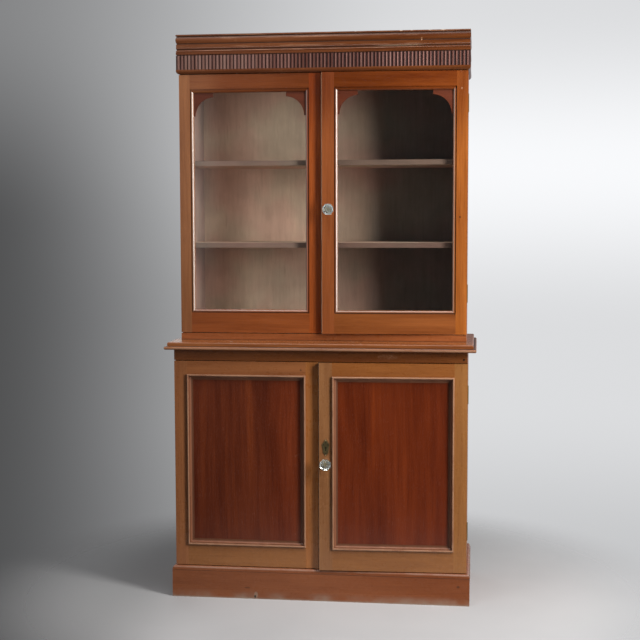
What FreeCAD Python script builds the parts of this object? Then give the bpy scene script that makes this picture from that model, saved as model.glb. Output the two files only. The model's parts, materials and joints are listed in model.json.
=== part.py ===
"""Glazed bookcase on a panelled cupboard, in mahogany, in millimetres.

The frame has +Z up, the doors face -Y, and the origin is the middle of the
bounding box's floor. Each piece of timber, glass and brass is its own solid.
"""
import FreeCAD, Part
import math
import os

import Sketcher

doc = FreeCAD.newDocument("Bookcase")
sheet = doc.addObject("Spreadsheet::Sheet", "Sizes")
pieces = []
nodes = []
cuts = []

LEFT = -1
RIGHT = 1


class Size:
    """A length with its value and the rule that ties it to the sheet."""

    def __init__(self, value, rule):
        self.value = float(value)
        self.rule = rule

    def __add__(self, other):
        other = as_size(other)
        return Size(self.value + other.value, f"({self.rule} + {other.rule})")

    def __sub__(self, other):
        other = as_size(other)
        return Size(self.value - other.value, f"({self.rule} - {other.rule})")

    def __mul__(self, other):
        other = as_size(other)
        return Size(self.value * other.value, f"({self.rule} * {other.rule})")

    def __truediv__(self, other):
        other = as_size(other)
        return Size(self.value / other.value, f"({self.rule} / {other.rule})")

    def __radd__(self, other):
        return as_size(other) + self

    def __rsub__(self, other):
        return as_size(other) - self

    def __rmul__(self, other):
        return as_size(other) * self

    def __neg__(self):
        return Size(-self.value, f"(-1 * {self.rule})")


def as_size(number):
    if isinstance(number, Size):
        return number
    return Size(number, f"({float(number):.9g})")


def size(alias, value, meaning):
    """Write one driving size in the sheet and give it back."""
    size.row += 1
    sheet.set(f"A{size.row}", meaning)
    sheet.set(f"B{size.row}", str(value))
    sheet.setAlias(f"B{size.row}", alias)
    return Size(value, f"{sheet.Name}.{alias}")


size.row = 0


# Overall
lower_width = size("lower_width", 1036, "cupboard section, outside of the sides")
case_step = size("case_step", 6, "bookcase side in from the cupboard's side")
lower_depth = size("lower_depth", 400, "cupboard side, front edge to back")
upper_depth = size("upper_depth", 308, "bookcase side, front edge to back")
side_thickness = size("side_thickness", 18, "side boards")
board_thickness = size("board_thickness", 18, "shelves, bottom and top boards")
rail_thickness = size("rail_thickness", 18, "inner head rails")
back_thickness = size("back_thickness", 8, "back boards")
back_rebate = size("back_rebate", 9, "width of the back rebate in a side")
housing_depth = size("housing_depth", 6, "depth of a housing in a side")
shelf_setback = size("shelf_setback", 8, "shelf edge behind the side's edge")

# Plinth and base board
plinth_height = size("plinth_height", 97, "plinth boards")
plinth_thickness = size("plinth_thickness", 20, "plinth boards")
plinth_projection = size("plinth_projection", 12, "plinth proud of the doors")
base_thickness = size("base_thickness", 15, "base board")
base_fillet_height = size("base_fillet_height", 4, "square fillet of the base board's edge")
base_quirk = size("base_quirk", 1.5, "step over that fillet")
base_ovolo = size("base_ovolo", 8.5, "ovolo of the base board's edge")

# Cupboard top
top_thickness = size("top_thickness", 26, "cupboard top")
top_projection = size("top_projection", 20, "upper edge of the top, proud of the doors")
nosing_height = size("nosing_height", 12, "half-round nosing under that edge")
nosing_projection = size("nosing_projection", 30, "nosing proud of the doors")
nosing_round = size("nosing_round", 5.6, "round of the nosing, above and below")
top_round = size("top_round", 5, "round of the top's upper edge")

# Rails between the doors and the boards
frieze_rail_height = size("frieze_rail_height", 38.5, "rail over the cupboard doors")
upper_rail_height = size("upper_rail_height", 24, "rail under the glazed doors")
head_lap = size("head_lap", 12, "head rail behind a door's top edge")
upper_head_height = size("upper_head_height", 60, "head rail of the bookcase section")
sill_lap = size("sill_lap", 4, "bottom board above a glazed door's lower edge")

# Shelves
lower_shelf_rise = size("lower_shelf_rise", 365, "shelf's upper face over the base board")
low_shelf_rise = size("low_shelf_rise", 349, "lower book shelf over the cupboard top")
high_shelf_rise = size("high_shelf_rise", 642, "upper book shelf over the cupboard top")

# Back boards, tongued and grooved
back_board_count = 5
tongue_thickness = size("tongue_thickness", 3, "tongue of a back board")
tongue_length = size("tongue_length", 5, "tongue of a back board")
groove_relief = size("groove_relief", 0.5, "room at the foot of a groove")

# Cornice, reeded frieze and bead
crown_rise = size("crown_rise", 7, "cornice above the case's top")
bead_height = size("bead_height", 15, "bead under the reeds")
bead_fillet = size("bead_fillet", 3, "square fillet on top of the bead")
bead_foot = size("bead_foot", 1, "projection of the bead's foot")
frieze_height = size("frieze_height", 49, "reeded frieze")
frieze_backing = size("frieze_backing", 4.9, "strip that the reeds stand on")
moulding_projection = size("moulding_projection", 8.5, "cornice proud of the case")
front_reeds = 81
side_reeds = 26
reed_gap = size("reed_gap", 1.8, "flat between two reeds")
reed_crown = size("reed_crown", 1.2, "rise of a reed's rounded face")
cornice_height = size("cornice_height", 74, "cornice")
recess_back = size("recess_back", 4.5, "projection of the recess at its foot")
quirk_back = size("quirk_back", 5, "projection of its quirks")
lower_fascia = size("lower_fascia", 8, "projection of its lower fascia")
upper_fascia = size("upper_fascia", 7, "projection of its upper fascia")
round_back = size("round_back", 6, "projection of the edges of its rounds")
small_round = size("small_round", 6, "height of its two small rounds")
small_round_radius = size("small_round_radius", 3.8, "radius of its two small rounds")
torus_radius = size("torus_radius", 22, "radius of its broad torus")
crown_round = size("crown_round", 3, "its rounded top edge")

# Doors
door_thickness = size("door_thickness", 22, "stiles and rails")
closing_gap = size("closing_gap", 1, "between a door's back and the case")
edge_gap = size("edge_gap", 2.5, "above and below a door")
meeting_gap = size("meeting_gap", 3, "between the two doors of a pair")
ajar_angle = size("ajar_angle", 2.2, "degrees that the right doors stand open")
tenon_thickness = size("tenon_thickness", 7, "tenons of the rails")
tenon_length = size("tenon_length", 30, "tenons of the rails")
tenon_shoulder = size("tenon_shoulder", 12, "shoulder beside a tenon")
mortise_relief = size("mortise_relief", 1, "room at the foot of a mortise")

upper_door_height = size("upper_door_height", 919, "glazed door")
meeting_stile_width = size("meeting_stile_width", 43.5, "glazed door's meeting stile, flat")
hinge_stile_width = size("hinge_stile_width", 39, "glazed door's hinge stile, flat")
upper_head_width = size("upper_head_width", 52, "glazed door's top rail, flat")
upper_foot_width = size("upper_foot_width", 71, "glazed door's bottom rail, flat")
sticking_width = size("sticking_width", 12.5, "moulded inner edge")
sticking_depth = size("sticking_depth", 12, "moulded edge, face to glass")
sticking_quirk = size("sticking_quirk", 4.6, "quirk beside the ovolo")
quirk_depth = size("quirk_depth", 4, "depth of that quirk")
ovolo_drop = size("ovolo_drop", 0.4, "top of the ovolo below the door's face")
glass_thickness = size("glass_thickness", 3, "pane")
glass_relief = size("glass_relief", 1, "room round the pane")
glazing_bead_width = size("glazing_bead_width", 7, "glazing bead")
glazing_bead_bevel = size("glazing_bead_bevel", 4, "bevel of the glazing bead")
spandrel_reach = size("spandrel_reach", 70, "corner bracket, along the rail")
spandrel_drop = size("spandrel_drop", 82, "corner bracket, down the stile")
spandrel_step = size("spandrel_step", 15, "its square end under the rail")
spandrel_foot = size("spandrel_foot", 6, "its foot beside the stile")
spandrel_curve = size("spandrel_curve", 67, "radius of its hollow edge")
spandrel_thickness = size("spandrel_thickness", 3.6, "corner bracket")
spandrel_relief = size("spandrel_relief", 0.2, "between a bracket and the pane")

lower_door_height = size("lower_door_height", 736.5, "panelled door")
lower_stile_width = size("lower_stile_width", 45.5, "panelled door")
lower_head_width = size("lower_head_width", 47.5, "top rail of a panelled door")
lower_foot_width = size("lower_foot_width", 74.5, "bottom rail of a panelled door")
panel_thickness = size("panel_thickness", 8, "panel")
panel_depth = size("panel_depth", 10, "panel's face behind the door's face")
panel_groove = size("panel_groove", 8, "groove for the panel")
panel_relief = size("panel_relief", 1, "room round the panel in its groove")
bolection_width = size("bolection_width", 20, "planted panel moulding")
bolection_rise = size("bolection_rise", 8, "panel moulding proud of the door")
outer_bead = size("outer_bead", 6.5, "width of its outer bead")
bead_rise = size("bead_rise", 1.8, "rise of its outer bead")
bead_step = size("bead_step", 1.5, "flat beside its outer bead")
inner_cove = size("inner_cove", 9, "radius of the cove inside its bead")
inner_fillet = size("inner_fillet", 2, "upright edge of the moulding at the panel")

# Butt hinges
hinge_height = size("hinge_height", 64, "butt hinge")
hinge_head_inset = size("hinge_head_inset", 110, "door's top to the hinge's middle")
hinge_foot_inset = size("hinge_foot_inset", 144, "door's bottom to the hinge's middle")
leaf_thickness = size("leaf_thickness", 1.5, "hinge leaf")
leaf_width = size("leaf_width", 15, "hinge axis to the leaf's edge")
knuckle_radius = size("knuckle_radius", 3.2, "hinge knuckle")
knuckle_stand = size("knuckle_stand", 0.8, "hinge axis outside the case's side")
knuckle_gap = size("knuckle_gap", 0.3, "between two knuckles")
knuckle_relief = size("knuckle_relief", 0.5, "between the knuckles and the timber")
knuckle_count = 3
knuckle_sides = 8
pin_radius = size("pin_radius", 1.6, "hinge pin")
pin_clearance = size("pin_clearance", 0.05, "round the hinge pin")

# Glass knobs, with a shank that screws through the stile
knob_inset = size("knob_inset", 25, "case's middle to the knob's axis")
upper_knob_rise = size("upper_knob_rise", 441, "knob over a glazed door's lower edge")
lower_knob_rise = size("lower_knob_rise", 382, "knob over a panelled door's lower edge")
knob_radius = size("knob_radius", 20.5, "girdle of the cut glass")
knob_table_radius = size("knob_table_radius", 11.5, "flat front of the cut glass")
knob_back_radius = size("knob_back_radius", 9.5, "back of the cut glass")
knob_back_length = size("knob_back_length", 11, "back to girdle")
knob_girdle = size("knob_girdle", 2, "upright band at the girdle")
knob_crown_length = size("knob_crown_length", 9, "girdle to the flat front")
knob_sides = 8
shank_sides = 24
rose_radius = size("rose_radius", 12, "brass rose")
rose_thickness = size("rose_thickness", 2.5, "brass rose")
neck_radius = size("neck_radius", 7.5, "brass neck")
neck_length = size("neck_length", 12, "rose to the glass")
spindle_width = size("spindle_width", 5, "square spindle in the stile")
spindle_clearance = size("spindle_clearance", 0.1, "round the spindle")

# Escutcheon, lock and strike
keyhole_rise = size("keyhole_rise", 438, "keyhole over the door's lower edge")
escutcheon_thickness = size("escutcheon_thickness", 1.5, "pierced plate")
escutcheon_width = size("escutcheon_width", 27, "pierced plate")
escutcheon_height = size("escutcheon_height", 58, "pierced plate")
key_radius = size("key_radius", 3.2, "round of the keyhole")
key_slot_width = size("key_slot_width", 3.2, "slot of the keyhole")
key_slot_drop = size("key_slot_drop", 11, "slot below the keyhole's round")
piercing_reach = size("piercing_reach", 2.6, "pierced lozenges, middle to corner")
lock_width = size("lock_width", 36, "lock case")
lock_height = size("lock_height", 58, "lock case")
lock_depth = size("lock_depth", 11, "lock case")
bolt_height = size("bolt_height", 16, "lock bolt")
bolt_thickness = size("bolt_thickness", 5.4, "lock bolt")
bolt_length = size("bolt_length", 20, "lock bolt")
bolt_throw = size("bolt_throw", 9, "travel of the lock bolt")
bolt_rise = size("bolt_rise", 16, "bolt's middle over the keyhole")
bolt_clearance = size("bolt_clearance", 0.3, "round the bolt in its case")
strike_clearance = size("strike_clearance", 0.5, "round the bolt in the strike")
strike_height = size("strike_height", 40, "strike plate")
strike_width = size("strike_width", 14, "strike plate")
strike_thickness = size("strike_thickness", 1.5, "strike plate")

# Bar bolts behind the left cupboard door
bar_inset = size("bar_inset", 25.5, "case's middle to a bolt's middle")
bar_width = size("bar_width", 8, "bar of a bolt")
bar_thickness = size("bar_thickness", 4, "bar of a bolt")
bar_clearance = size("bar_clearance", 0.3, "round the bar in its staples")
bar_length = size("bar_length", 71, "bar of a bolt")
bar_rest_gap = size("bar_rest_gap", 3, "bar's end to the rail or base board")
bar_throw = size("bar_throw", 12, "travel of a bar")
bar_socket_room = size("bar_socket_room", 1, "room beyond a bar that is shot")
staple_wall = size("staple_wall", 1.6, "metal of the staples")
staple_height = size("staple_height", 10, "staples on the plate")
staple_inset = size("staple_inset", 4, "plate's end to a staple")
bolt_plate_width = size("bolt_plate_width", 18, "plate of a bar bolt")
bolt_plate_height = size("bolt_plate_height", 60, "plate of a bar bolt")
bolt_plate_thickness = size("bolt_plate_thickness", 1.5, "plate of a bar bolt")
bolt_plate_gap = size("bolt_plate_gap", 4, "plate's end to the rail or base board")
thumb_width = size("thumb_width", 6, "thumb piece of a bar")
thumb_length = size("thumb_length", 7, "thumb piece of a bar")
thumb_drop = size("thumb_drop", 41, "bar's end to the middle of its thumb piece")

# Places that several pieces share
lower_half = lower_width / 2
upper_half = lower_half - case_step
knob_reach = (rose_thickness + neck_length + knob_back_length + knob_girdle
              + knob_crown_length)
knob_flat = math.cos(math.pi / knob_sides)

# The cupboard's knob, on a door that stands ajar, is the foremost point.
ajar_sine = Size(math.sin(math.radians(ajar_angle.value)), f"sin({ajar_angle.rule})")
ajar_cosine = Size(math.cos(math.radians(ajar_angle.value)), f"cos({ajar_angle.rule})")
axis_depth = closing_gap / 2
knob_swing = lower_half + knuckle_stand - knob_inset + knob_table_radius * knob_flat
knob_front = axis_depth + door_thickness + knob_reach
back_y = (lower_depth + axis_depth + knob_swing * ajar_sine + knob_front * ajar_cosine) / 2
lower_front_y = back_y - lower_depth
lower_face_y = lower_front_y - closing_gap - door_thickness
upper_front_y = back_y - upper_depth
upper_face_y = upper_front_y - closing_gap - door_thickness
inner_back_y = back_y - back_thickness

lower_case_z = plinth_height + base_thickness
lower_door_z = lower_case_z + edge_gap
lower_door_top = lower_door_z + lower_door_height
frieze_rail_z = lower_door_top + edge_gap
cupboard_top_z = frieze_rail_z + frieze_rail_height
upper_case_z = cupboard_top_z + top_thickness
upper_door_z = upper_case_z + upper_rail_height + edge_gap
upper_door_top = upper_door_z + upper_door_height
bead_z = upper_door_top + edge_gap
reeds_z = bead_z + bead_height
cornice_z = reeds_z + frieze_height
crown_z = cornice_z + cornice_height
case_top_z = crown_z - crown_rise


class Piece:
    """One solid, as a body placed at its own corner; all input is in the part's frame."""

    planes = {"XY_Plane": (0, 1, 2, 1), "XZ_Plane": (0, 2, 1, -1), "YZ_Plane": (1, 2, 0, 1)}

    def __init__(self, label, corner):
        self.body = doc.addObject("PartDesign::Body", label)
        self.body.Label = label
        self.corner = [as_size(value) for value in corner]
        for axis, value in zip("xyz", self.corner):
            self.body.setExpression(f"Placement.Base.{axis}", value.rule)
        pieces.append(self)

    def turn(self, axis_x, axis_y, angle, sine, cosine):
        """Turn the finished piece about an upright axis."""
        away_x = self.corner[0] - axis_x
        away_y = self.corner[1] - axis_y
        x = axis_x + away_x * cosine - away_y * sine
        y = axis_y + away_x * sine + away_y * cosine
        self.body.setExpression("Placement.Base.x", x.rule)
        self.body.setExpression("Placement.Base.y", y.rule)
        self.body.setExpression("Placement.Rotation.Angle", angle.rule)

    def sketch(self, role, level):
        across, up, normal, sign = self.planes[role]
        sketch = self.body.newObject("Sketcher::SketchObject", f"{self.body.Name}_sketch")
        plane = next(item for item in self.body.Origin.OriginFeatures if item.Role == role)
        sketch.AttachmentSupport = [(plane, "")]
        sketch.MapMode = "FlatFace"
        offset = (as_size(level) - self.corner[normal]) * sign
        sketch.AttachmentOffset = FreeCAD.Placement(
            FreeCAD.Vector(0, 0, offset.value), FreeCAD.Rotation())
        sketch.setExpression("AttachmentOffset.Base.z", offset.rule)
        return sketch, self.corner[across], self.corner[up]

    def outline(self, role, level, points):
        """Draw a closed outline of lines and arcs.

        A point is (across, up), or (across, up, radius, turn) where an arc ends
        there; turn is 1 for a left-hand arc and -1 for a right-hand one.
        """
        sketch, across, up = self.sketch(role, level)
        ends = [(as_size(point[0]) - across, as_size(point[1]) - up) for point in points]
        spots = [FreeCAD.Vector(u.value, v.value, 0) for u, v in ends]
        shapes = []
        for index, point in enumerate(points):
            start = spots[index - 1]
            stop = spots[index]
            if len(point) == 2:
                shapes.append(Part.LineSegment(start, stop))
            else:
                shapes.append(Part.Arc(start, arc_middle(start, stop, point[2], point[3]), stop))
        sketch.addGeometry(shapes, False)
        for index, point in enumerate(points):
            last = vertex_of(sketch, index, spots[index])
            following = (index + 1) % len(points)
            first = vertex_of(sketch, following, spots[index])
            sketch.addConstraint(
                Sketcher.Constraint("Coincident", index, last, following, first))
            bind(sketch, "DistanceX", index, last, ends[index][0])
            bind(sketch, "DistanceY", index, last, ends[index][1])
            if len(point) == 4:
                bind_radius(sketch, index, point[2])
        return sketch, role

    def disc(self, role, level, centre, radius):
        sketch, across, up = self.sketch(role, level)
        u = as_size(centre[0]) - across
        v = as_size(centre[1]) - up
        middle = FreeCAD.Vector(u.value, v.value, 0)
        sketch.addGeometry(Part.Circle(middle, FreeCAD.Vector(0, 0, 1), as_size(radius).value))
        bind(sketch, "DistanceX", 0, 3, u)
        bind(sketch, "DistanceY", 0, 3, v)
        bind_radius(sketch, 0, radius)
        return sketch, role

    def pad(self, profile, length, toward=1):
        """Push a profile out, toward 1 or -1 along the axis that it faces."""
        sketch, role = profile
        feature = self.body.newObject("PartDesign::Pad", f"{self.body.Name}_pad")
        feature.Profile = sketch
        feature.Reversed = toward * self.planes[role][3] < 0
        set_size(feature, "Length", length)
        return feature

    def cut(self, profile, length, toward=1):
        sketch, role = profile
        feature = self.body.newObject("PartDesign::Pocket", f"{self.body.Name}_cut")
        feature.Profile = sketch
        feature.Reversed = toward * self.planes[role][3] > 0
        set_size(feature, "Length", length)
        cuts.append(feature)
        return feature

    def box(self, x, y, z):
        return self.pad(self.outline("XY_Plane", z[0], rectangle(x, y)), z[1] - z[0])

    def cut_box(self, x, y, z):
        return self.cut(self.outline("XY_Plane", z[0], rectangle(x, y)), z[1] - z[0])

    def barrel(self, x, y, z, radius):
        """Add an upright barrel with a few flats, for the many small hinge knuckles."""
        return self.pad(self.outline("XY_Plane", z[0], ring((x, y), radius, knuckle_sides)),
                        z[1] - z[0])

    def cut_barrel(self, x, y, z, radius):
        return self.cut(self.outline("XY_Plane", z[0], ring((x, y), radius, knuckle_sides)),
                        z[1] - z[0])

    def chamfer(self, base, across, along, chosen):
        """Bevel the edges of base that the test picks: across its end, along its sides."""
        feature = self.body.newObject("PartDesign::Chamfer", f"{self.body.Name}_bevel")
        feature.Base = (base, self.edges(base, chosen))
        feature.ChamferType = "Two distances"
        set_size(feature, "Size", across)
        set_size(feature, "Size2", along)
        return feature

    def fillet(self, base, radius, chosen):
        """Round the edges of base that the test picks, seen in the part's frame."""
        feature = self.body.newObject("PartDesign::Fillet", f"{self.body.Name}_round")
        feature.Base = (base, self.edges(base, chosen))
        set_size(feature, "Radius", radius)
        return feature

    def edges(self, base, chosen):
        """Name the edges whose middles, in the part's frame, pass the test."""
        doc.recompute()
        move = FreeCAD.Vector(*[value.value for value in self.corner])
        return [f"Edge{number}" for number, edge in enumerate(base.Shape.Edges, 1)
                if chosen(edge.CenterOfMass + move)]


def set_size(thing, name, value):
    value = as_size(value)
    setattr(thing, name, value.value)
    thing.setExpression(name, value.rule)


def bind(sketch, kind, element, vertex, value):
    number = sketch.addConstraint(Sketcher.Constraint(kind, element, vertex, value.value))
    sketch.setExpression(f"Constraints[{number}]", value.rule)


def bind_radius(sketch, element, radius):
    radius = as_size(radius)
    number = sketch.addConstraint(Sketcher.Constraint("Radius", element, radius.value))
    sketch.setExpression(f"Constraints[{number}]", radius.rule)


def vertex_of(sketch, element, spot):
    """Tell which end of a sketched element lies at a spot: 1 or 2."""
    near = (sketch.getPoint(element, 1) - spot).Length
    far = (sketch.getPoint(element, 2) - spot).Length
    return 1 if near < far else 2


def arc_middle(start, stop, radius, turn):
    chord = stop - start
    half = chord.Length / 2
    reach = as_size(radius).value
    rise = reach - math.sqrt(max(reach**2 - half**2, 0))
    outward = FreeCAD.Vector(chord.y, -chord.x, 0).normalize() * turn
    return (start + stop) / 2 + outward * rise


def rectangle(x, y):
    return [(x[0], y[0]), (x[1], y[0]), (x[1], y[1]), (x[0], y[1])]


def ring(centre, radius, count):
    """Give the corners of a regular outline, with a flat on each side."""
    corners = []
    for index in range(count):
        angle = 2 * math.pi * (index + 0.5) / count
        corners.append((centre[0] + radius * math.cos(angle),
                        centre[1] + radius * math.sin(angle)))
    return corners


def hand_span(hand, inner, outer):
    """Give the low and high x of a span that lies on the left or the right."""
    if hand == RIGHT:
        return as_size(inner), as_size(outer)
    return -as_size(outer), -as_size(inner)


def node(label, thing):
    thing.Label = label
    nodes.append(thing)


def group(label, pieces):
    """Join separate solids of one kind in one node."""
    compound = doc.addObject("Part::Compound", label)
    compound.Links = [piece.body for piece in pieces]
    node(label, compound)


def board(label, x, y, z):
    piece = Piece(label, (x[0], y[0], z[0]))
    piece.box(x, y, z)
    return piece


def corner_mitre(piece, corner, inward, width, upright, y):
    """Cut a frame moulding's end at 45 degrees, through the depth y."""
    reach = width + 1
    across = corner[0] + inward[0] * reach
    along = corner[1] + inward[1] * reach
    third = (across, corner[1]) if upright else (corner[0], along)
    piece.cut(piece.outline("XZ_Plane", y[0], [corner, (across, along), third]), y[1] - y[0])


def case_mitre(piece, hand, half, face_y, reach, keep_front, z):
    """Cut a moulding's end at 45 degrees where it turns the case's corner."""
    low, high = reach
    inner = (hand * (half + low), face_y - low)
    outer = (hand * (half + high + 1), face_y - high - 1)
    third = (outer[0], inner[1]) if keep_front else (inner[0], outer[1])
    piece.cut(piece.outline("XY_Plane", z[0] - 1, [inner, outer, third]), z[1] - z[0] + 2)


def placed(section, spot, turn):
    """Map a section's points to a plane, with turn -1 where that mirrors them."""
    points = []
    for item in section:
        across, up = spot(item[0], item[1])
        points.append((across, up) if len(item) == 2 else (across, up, item[2], item[3] * turn))
    return points


def case_moulding(label, where, half, face_y, section, reach, z):
    """Run a section of (projection, height) along the front or one side of the case."""
    low, high = reach
    if where == 0:
        span = (-(half + high), half + high)
        piece = Piece(label, (span[0], face_y, z[0]))
        points = placed(section, lambda out, up: (face_y - out, up), -1)
        piece.pad(piece.outline("YZ_Plane", span[0], points), span[1] - span[0])
        for hand in (LEFT, RIGHT):
            case_mitre(piece, hand, half, face_y, reach, True, z)
    else:
        piece = Piece(label, (where * half, face_y, z[0]))
        points = placed(section, lambda out, up: (where * (half + out), up), where)
        piece.pad(piece.outline("XZ_Plane", back_y, points), back_y - face_y + high, -1)
        case_mitre(piece, where, half, face_y, reach, False, z)
    return piece


def frame_moulding(label, x, z, face_y, section, width, depth):
    """Plant four mitred lengths inside a frame; a section is (inward, depth) points."""
    pieces = []
    for end, name in ((0, "left"), (1, "right")):
        way = 1 - 2 * end
        piece = Piece(f"{label}_{name}", (x[end], face_y, z[0]))
        points = placed(section, lambda q, d: (x[end] + way * q, face_y + d), way)
        piece.pad(piece.outline("XY_Plane", z[0], points), z[1] - z[0])
        for other in (0, 1):
            corner_mitre(piece, (x[end], z[other]), (way, 1 - 2 * other), width, True,
                         (face_y + depth[0], face_y + depth[1]))
        pieces.append(piece)
    for end, name in ((0, "bottom"), (1, "top")):
        way = 1 - 2 * end
        piece = Piece(f"{label}_{name}", (x[0], face_y, z[end]))
        points = placed(section, lambda q, d: (face_y + d, z[end] + way * q), -way)
        piece.pad(piece.outline("YZ_Plane", x[0], points), x[1] - x[0])
        for other in (0, 1):
            corner_mitre(piece, (x[other], z[end]), (1 - 2 * other, way), width, False,
                         (face_y + depth[0], face_y + depth[1]))
        pieces.append(piece)
    group(label, pieces)


def moulded_slab(label, half, face_y, layers):
    """Stack layers of (low z, high z, projection, low round, high round) in one board."""
    first = layers[0]
    piece = Piece(label, (-(half + first[2]), face_y - first[2], first[0]))
    for low, high, out, low_round, high_round in layers:
        base = piece.box((-(half + out), half + out), (face_y - out, back_y), (low, high))
        for level, radius in ((low, low_round), (high, high_round)):
            if radius is not None:
                edges = rim_test(half + out, face_y - out, level)
                base = piece.fillet(base, radius, edges)
    return piece


def rim_test(side, front, level):
    """Pick the front and side edges of a slab at one level."""
    def chosen(middle):
        at_level = abs(middle.z - level.value) < 1e-3
        at_front = abs(middle.y - front.value) < 1e-3
        at_side = abs(abs(middle.x) - side.value) < 1e-3
        return at_level and (at_front or at_side)
    return chosen


# Plinth: four boards on edge, mitred at the front, under the base board.
plinth_reach = (plinth_projection - plinth_thickness, plinth_projection)
plinth_z = (as_size(0), plinth_height)
plinth_section = [
    (plinth_reach[0], plinth_z[0]),
    (plinth_reach[1], plinth_z[0]),
    (plinth_reach[1], plinth_z[1]),
    (plinth_reach[0], plinth_z[1]),
]


def plinth_board(label, where):
    return case_moulding(label, where, lower_half, lower_face_y, plinth_section,
                         plinth_reach, plinth_z)


node("plinth_front", plinth_board("plinth_front", 0).body)
group("plinth_returns", [plinth_board("plinth_return_left", LEFT),
                         plinth_board("plinth_return_right", RIGHT)])
plinth_inner = lower_half + plinth_reach[0]
node("plinth_back", board("plinth_back", (-plinth_inner, plinth_inner),
                          (back_y - plinth_thickness, back_y), plinth_z).body)

# Base board: the cupboard's floor, with a moulded edge that shows under the doors.
base_step_z = plinth_height + base_fillet_height
base_board = moulded_slab("base_board", lower_half, lower_face_y, [
    (plinth_height, base_step_z, plinth_projection, None, None),
    (base_step_z, lower_case_z, plinth_projection - base_quirk, None, base_ovolo),
])
node("base_board", base_board.body)

# Cupboard top: one board with a half-round nosing under a rounded edge.
nosing_z = cupboard_top_z + nosing_height
cupboard_top = moulded_slab("cupboard_top", lower_half, lower_face_y, [
    (cupboard_top_z, nosing_z, nosing_projection, nosing_round, nosing_round),
    (nosing_z, upper_case_z, top_projection, None, top_round),
])
node("cupboard_top", cupboard_top.body)


def hinge_levels(door_low, door_high):
    """Give the low and high z of a door's two hinges."""
    middles = (door_low + hinge_foot_inset, door_high - hinge_head_inset)
    return [(middle - hinge_height / 2, middle + hinge_height / 2) for middle in middles]


def cut_leaf_seat(piece, hand, half, leaf_y, front_y, z):
    """Let a hinge leaf and its knuckles into a side's edge or a door's back."""
    axis_x = half + knuckle_stand
    piece.cut_box(hand_span(hand, axis_x - leaf_width, axis_x), leaf_y, z)
    room = knuckle_radius + knuckle_relief
    axis_y = front_y - axis_depth
    piece.cut_box(hand_span(hand, axis_x - room, axis_x + room), (axis_y - room, axis_y + room),
                  (z[0] - knuckle_relief, z[1] + knuckle_relief))


def case_side(label, hand, half, front_y, z, housings, doors):
    """Make a side board with its back rebate, housings and hinge seats."""
    inner = half - side_thickness
    piece = board(label, hand_span(hand, inner, half), (front_y, back_y), z)
    piece.cut_box(hand_span(hand, inner, inner + back_rebate), (inner_back_y, back_y), z)
    for y, levels in housings:
        piece.cut_box(hand_span(hand, inner, inner + housing_depth), y, levels)
    for levels in hinge_levels(*doors):
        cut_leaf_seat(piece, hand, half, (front_y, front_y + leaf_thickness), front_y, levels)
    node(label, piece.body)


def inner_board(label, half, y, z):
    """Make a board that sits in the housings of both sides."""
    reach = half - side_thickness + housing_depth
    return board(label, (-reach, reach), y, z)


def back_boards(label, half, z):
    """Fill the back with upright boards, tongued and grooved together."""
    reach = half - side_thickness + back_rebate
    width = reach * 2 / back_board_count
    tongue_y = (inner_back_y + (back_thickness - tongue_thickness) / 2,
                inner_back_y + (back_thickness + tongue_thickness) / 2)
    pieces = []
    for index in range(back_board_count):
        low = width * index - reach
        piece = board(f"{label}_{index + 1}", (low, low + width), (inner_back_y, back_y), z)
        if index:
            piece.cut_box((low, low + tongue_length + groove_relief), tongue_y, z)
        if index < back_board_count - 1:
            piece.box((low + width, low + width + tongue_length), tongue_y, z)
        pieces.append(piece)
    group(label, pieces)


# Cupboard section: two sides on the base board, a shelf, a head rail and the back.
lower_case = (lower_case_z, cupboard_top_z)
lower_shelf_z = lower_case_z + lower_shelf_rise
lower_shelf = ((lower_front_y + shelf_setback, inner_back_y),
               (lower_shelf_z - board_thickness, lower_shelf_z))
lower_head = ((lower_front_y, lower_front_y + rail_thickness),
              (lower_door_top - head_lap, cupboard_top_z))
for side_name, side_hand in (("lower_side_left", LEFT), ("lower_side_right", RIGHT)):
    case_side(side_name, side_hand, lower_half, lower_front_y, lower_case,
              [lower_shelf, lower_head], (lower_door_z, lower_door_top))
node("lower_shelf", inner_board("lower_shelf", lower_half, *lower_shelf).body)
back_boards("lower_back_boards", lower_half, lower_case)

# The head rail has a socket for the top bar bolt, the base board one for the bottom.
door_back_y = lower_front_y - closing_gap
bar_x = (-bar_inset - bar_width / 2, -bar_inset + bar_width / 2)
bar_low_y = door_back_y + bolt_plate_thickness + bar_clearance
bar_y = (bar_low_y, bar_low_y + bar_thickness)
socket_x = (bar_x[0] - bar_clearance, bar_x[1] + bar_clearance)
socket_y = (bar_y[0] - bar_clearance, bar_y[1] + bar_clearance)
socket_depth = bar_throw - bar_rest_gap + bar_socket_room
head_rail = inner_board("lower_head_rail", lower_half, *lower_head)
head_rail.cut_box(socket_x, socket_y, (lower_head[1][0], lower_head[1][0] + socket_depth))
node("lower_head_rail", head_rail.body)
base_board.cut_box(socket_x, socket_y, (lower_case_z - socket_depth, lower_case_z))

# Rails in the plane of the doors, planted on the front edges of the sides.
node("frieze_rail", board("frieze_rail", (-lower_half, lower_half),
                          (lower_face_y, lower_front_y), (frieze_rail_z, cupboard_top_z)).body)
node("upper_base_rail", board("upper_base_rail", (-upper_half, upper_half),
                              (upper_face_y, upper_front_y),
                              (upper_case_z, upper_case_z + upper_rail_height)).body)

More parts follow.
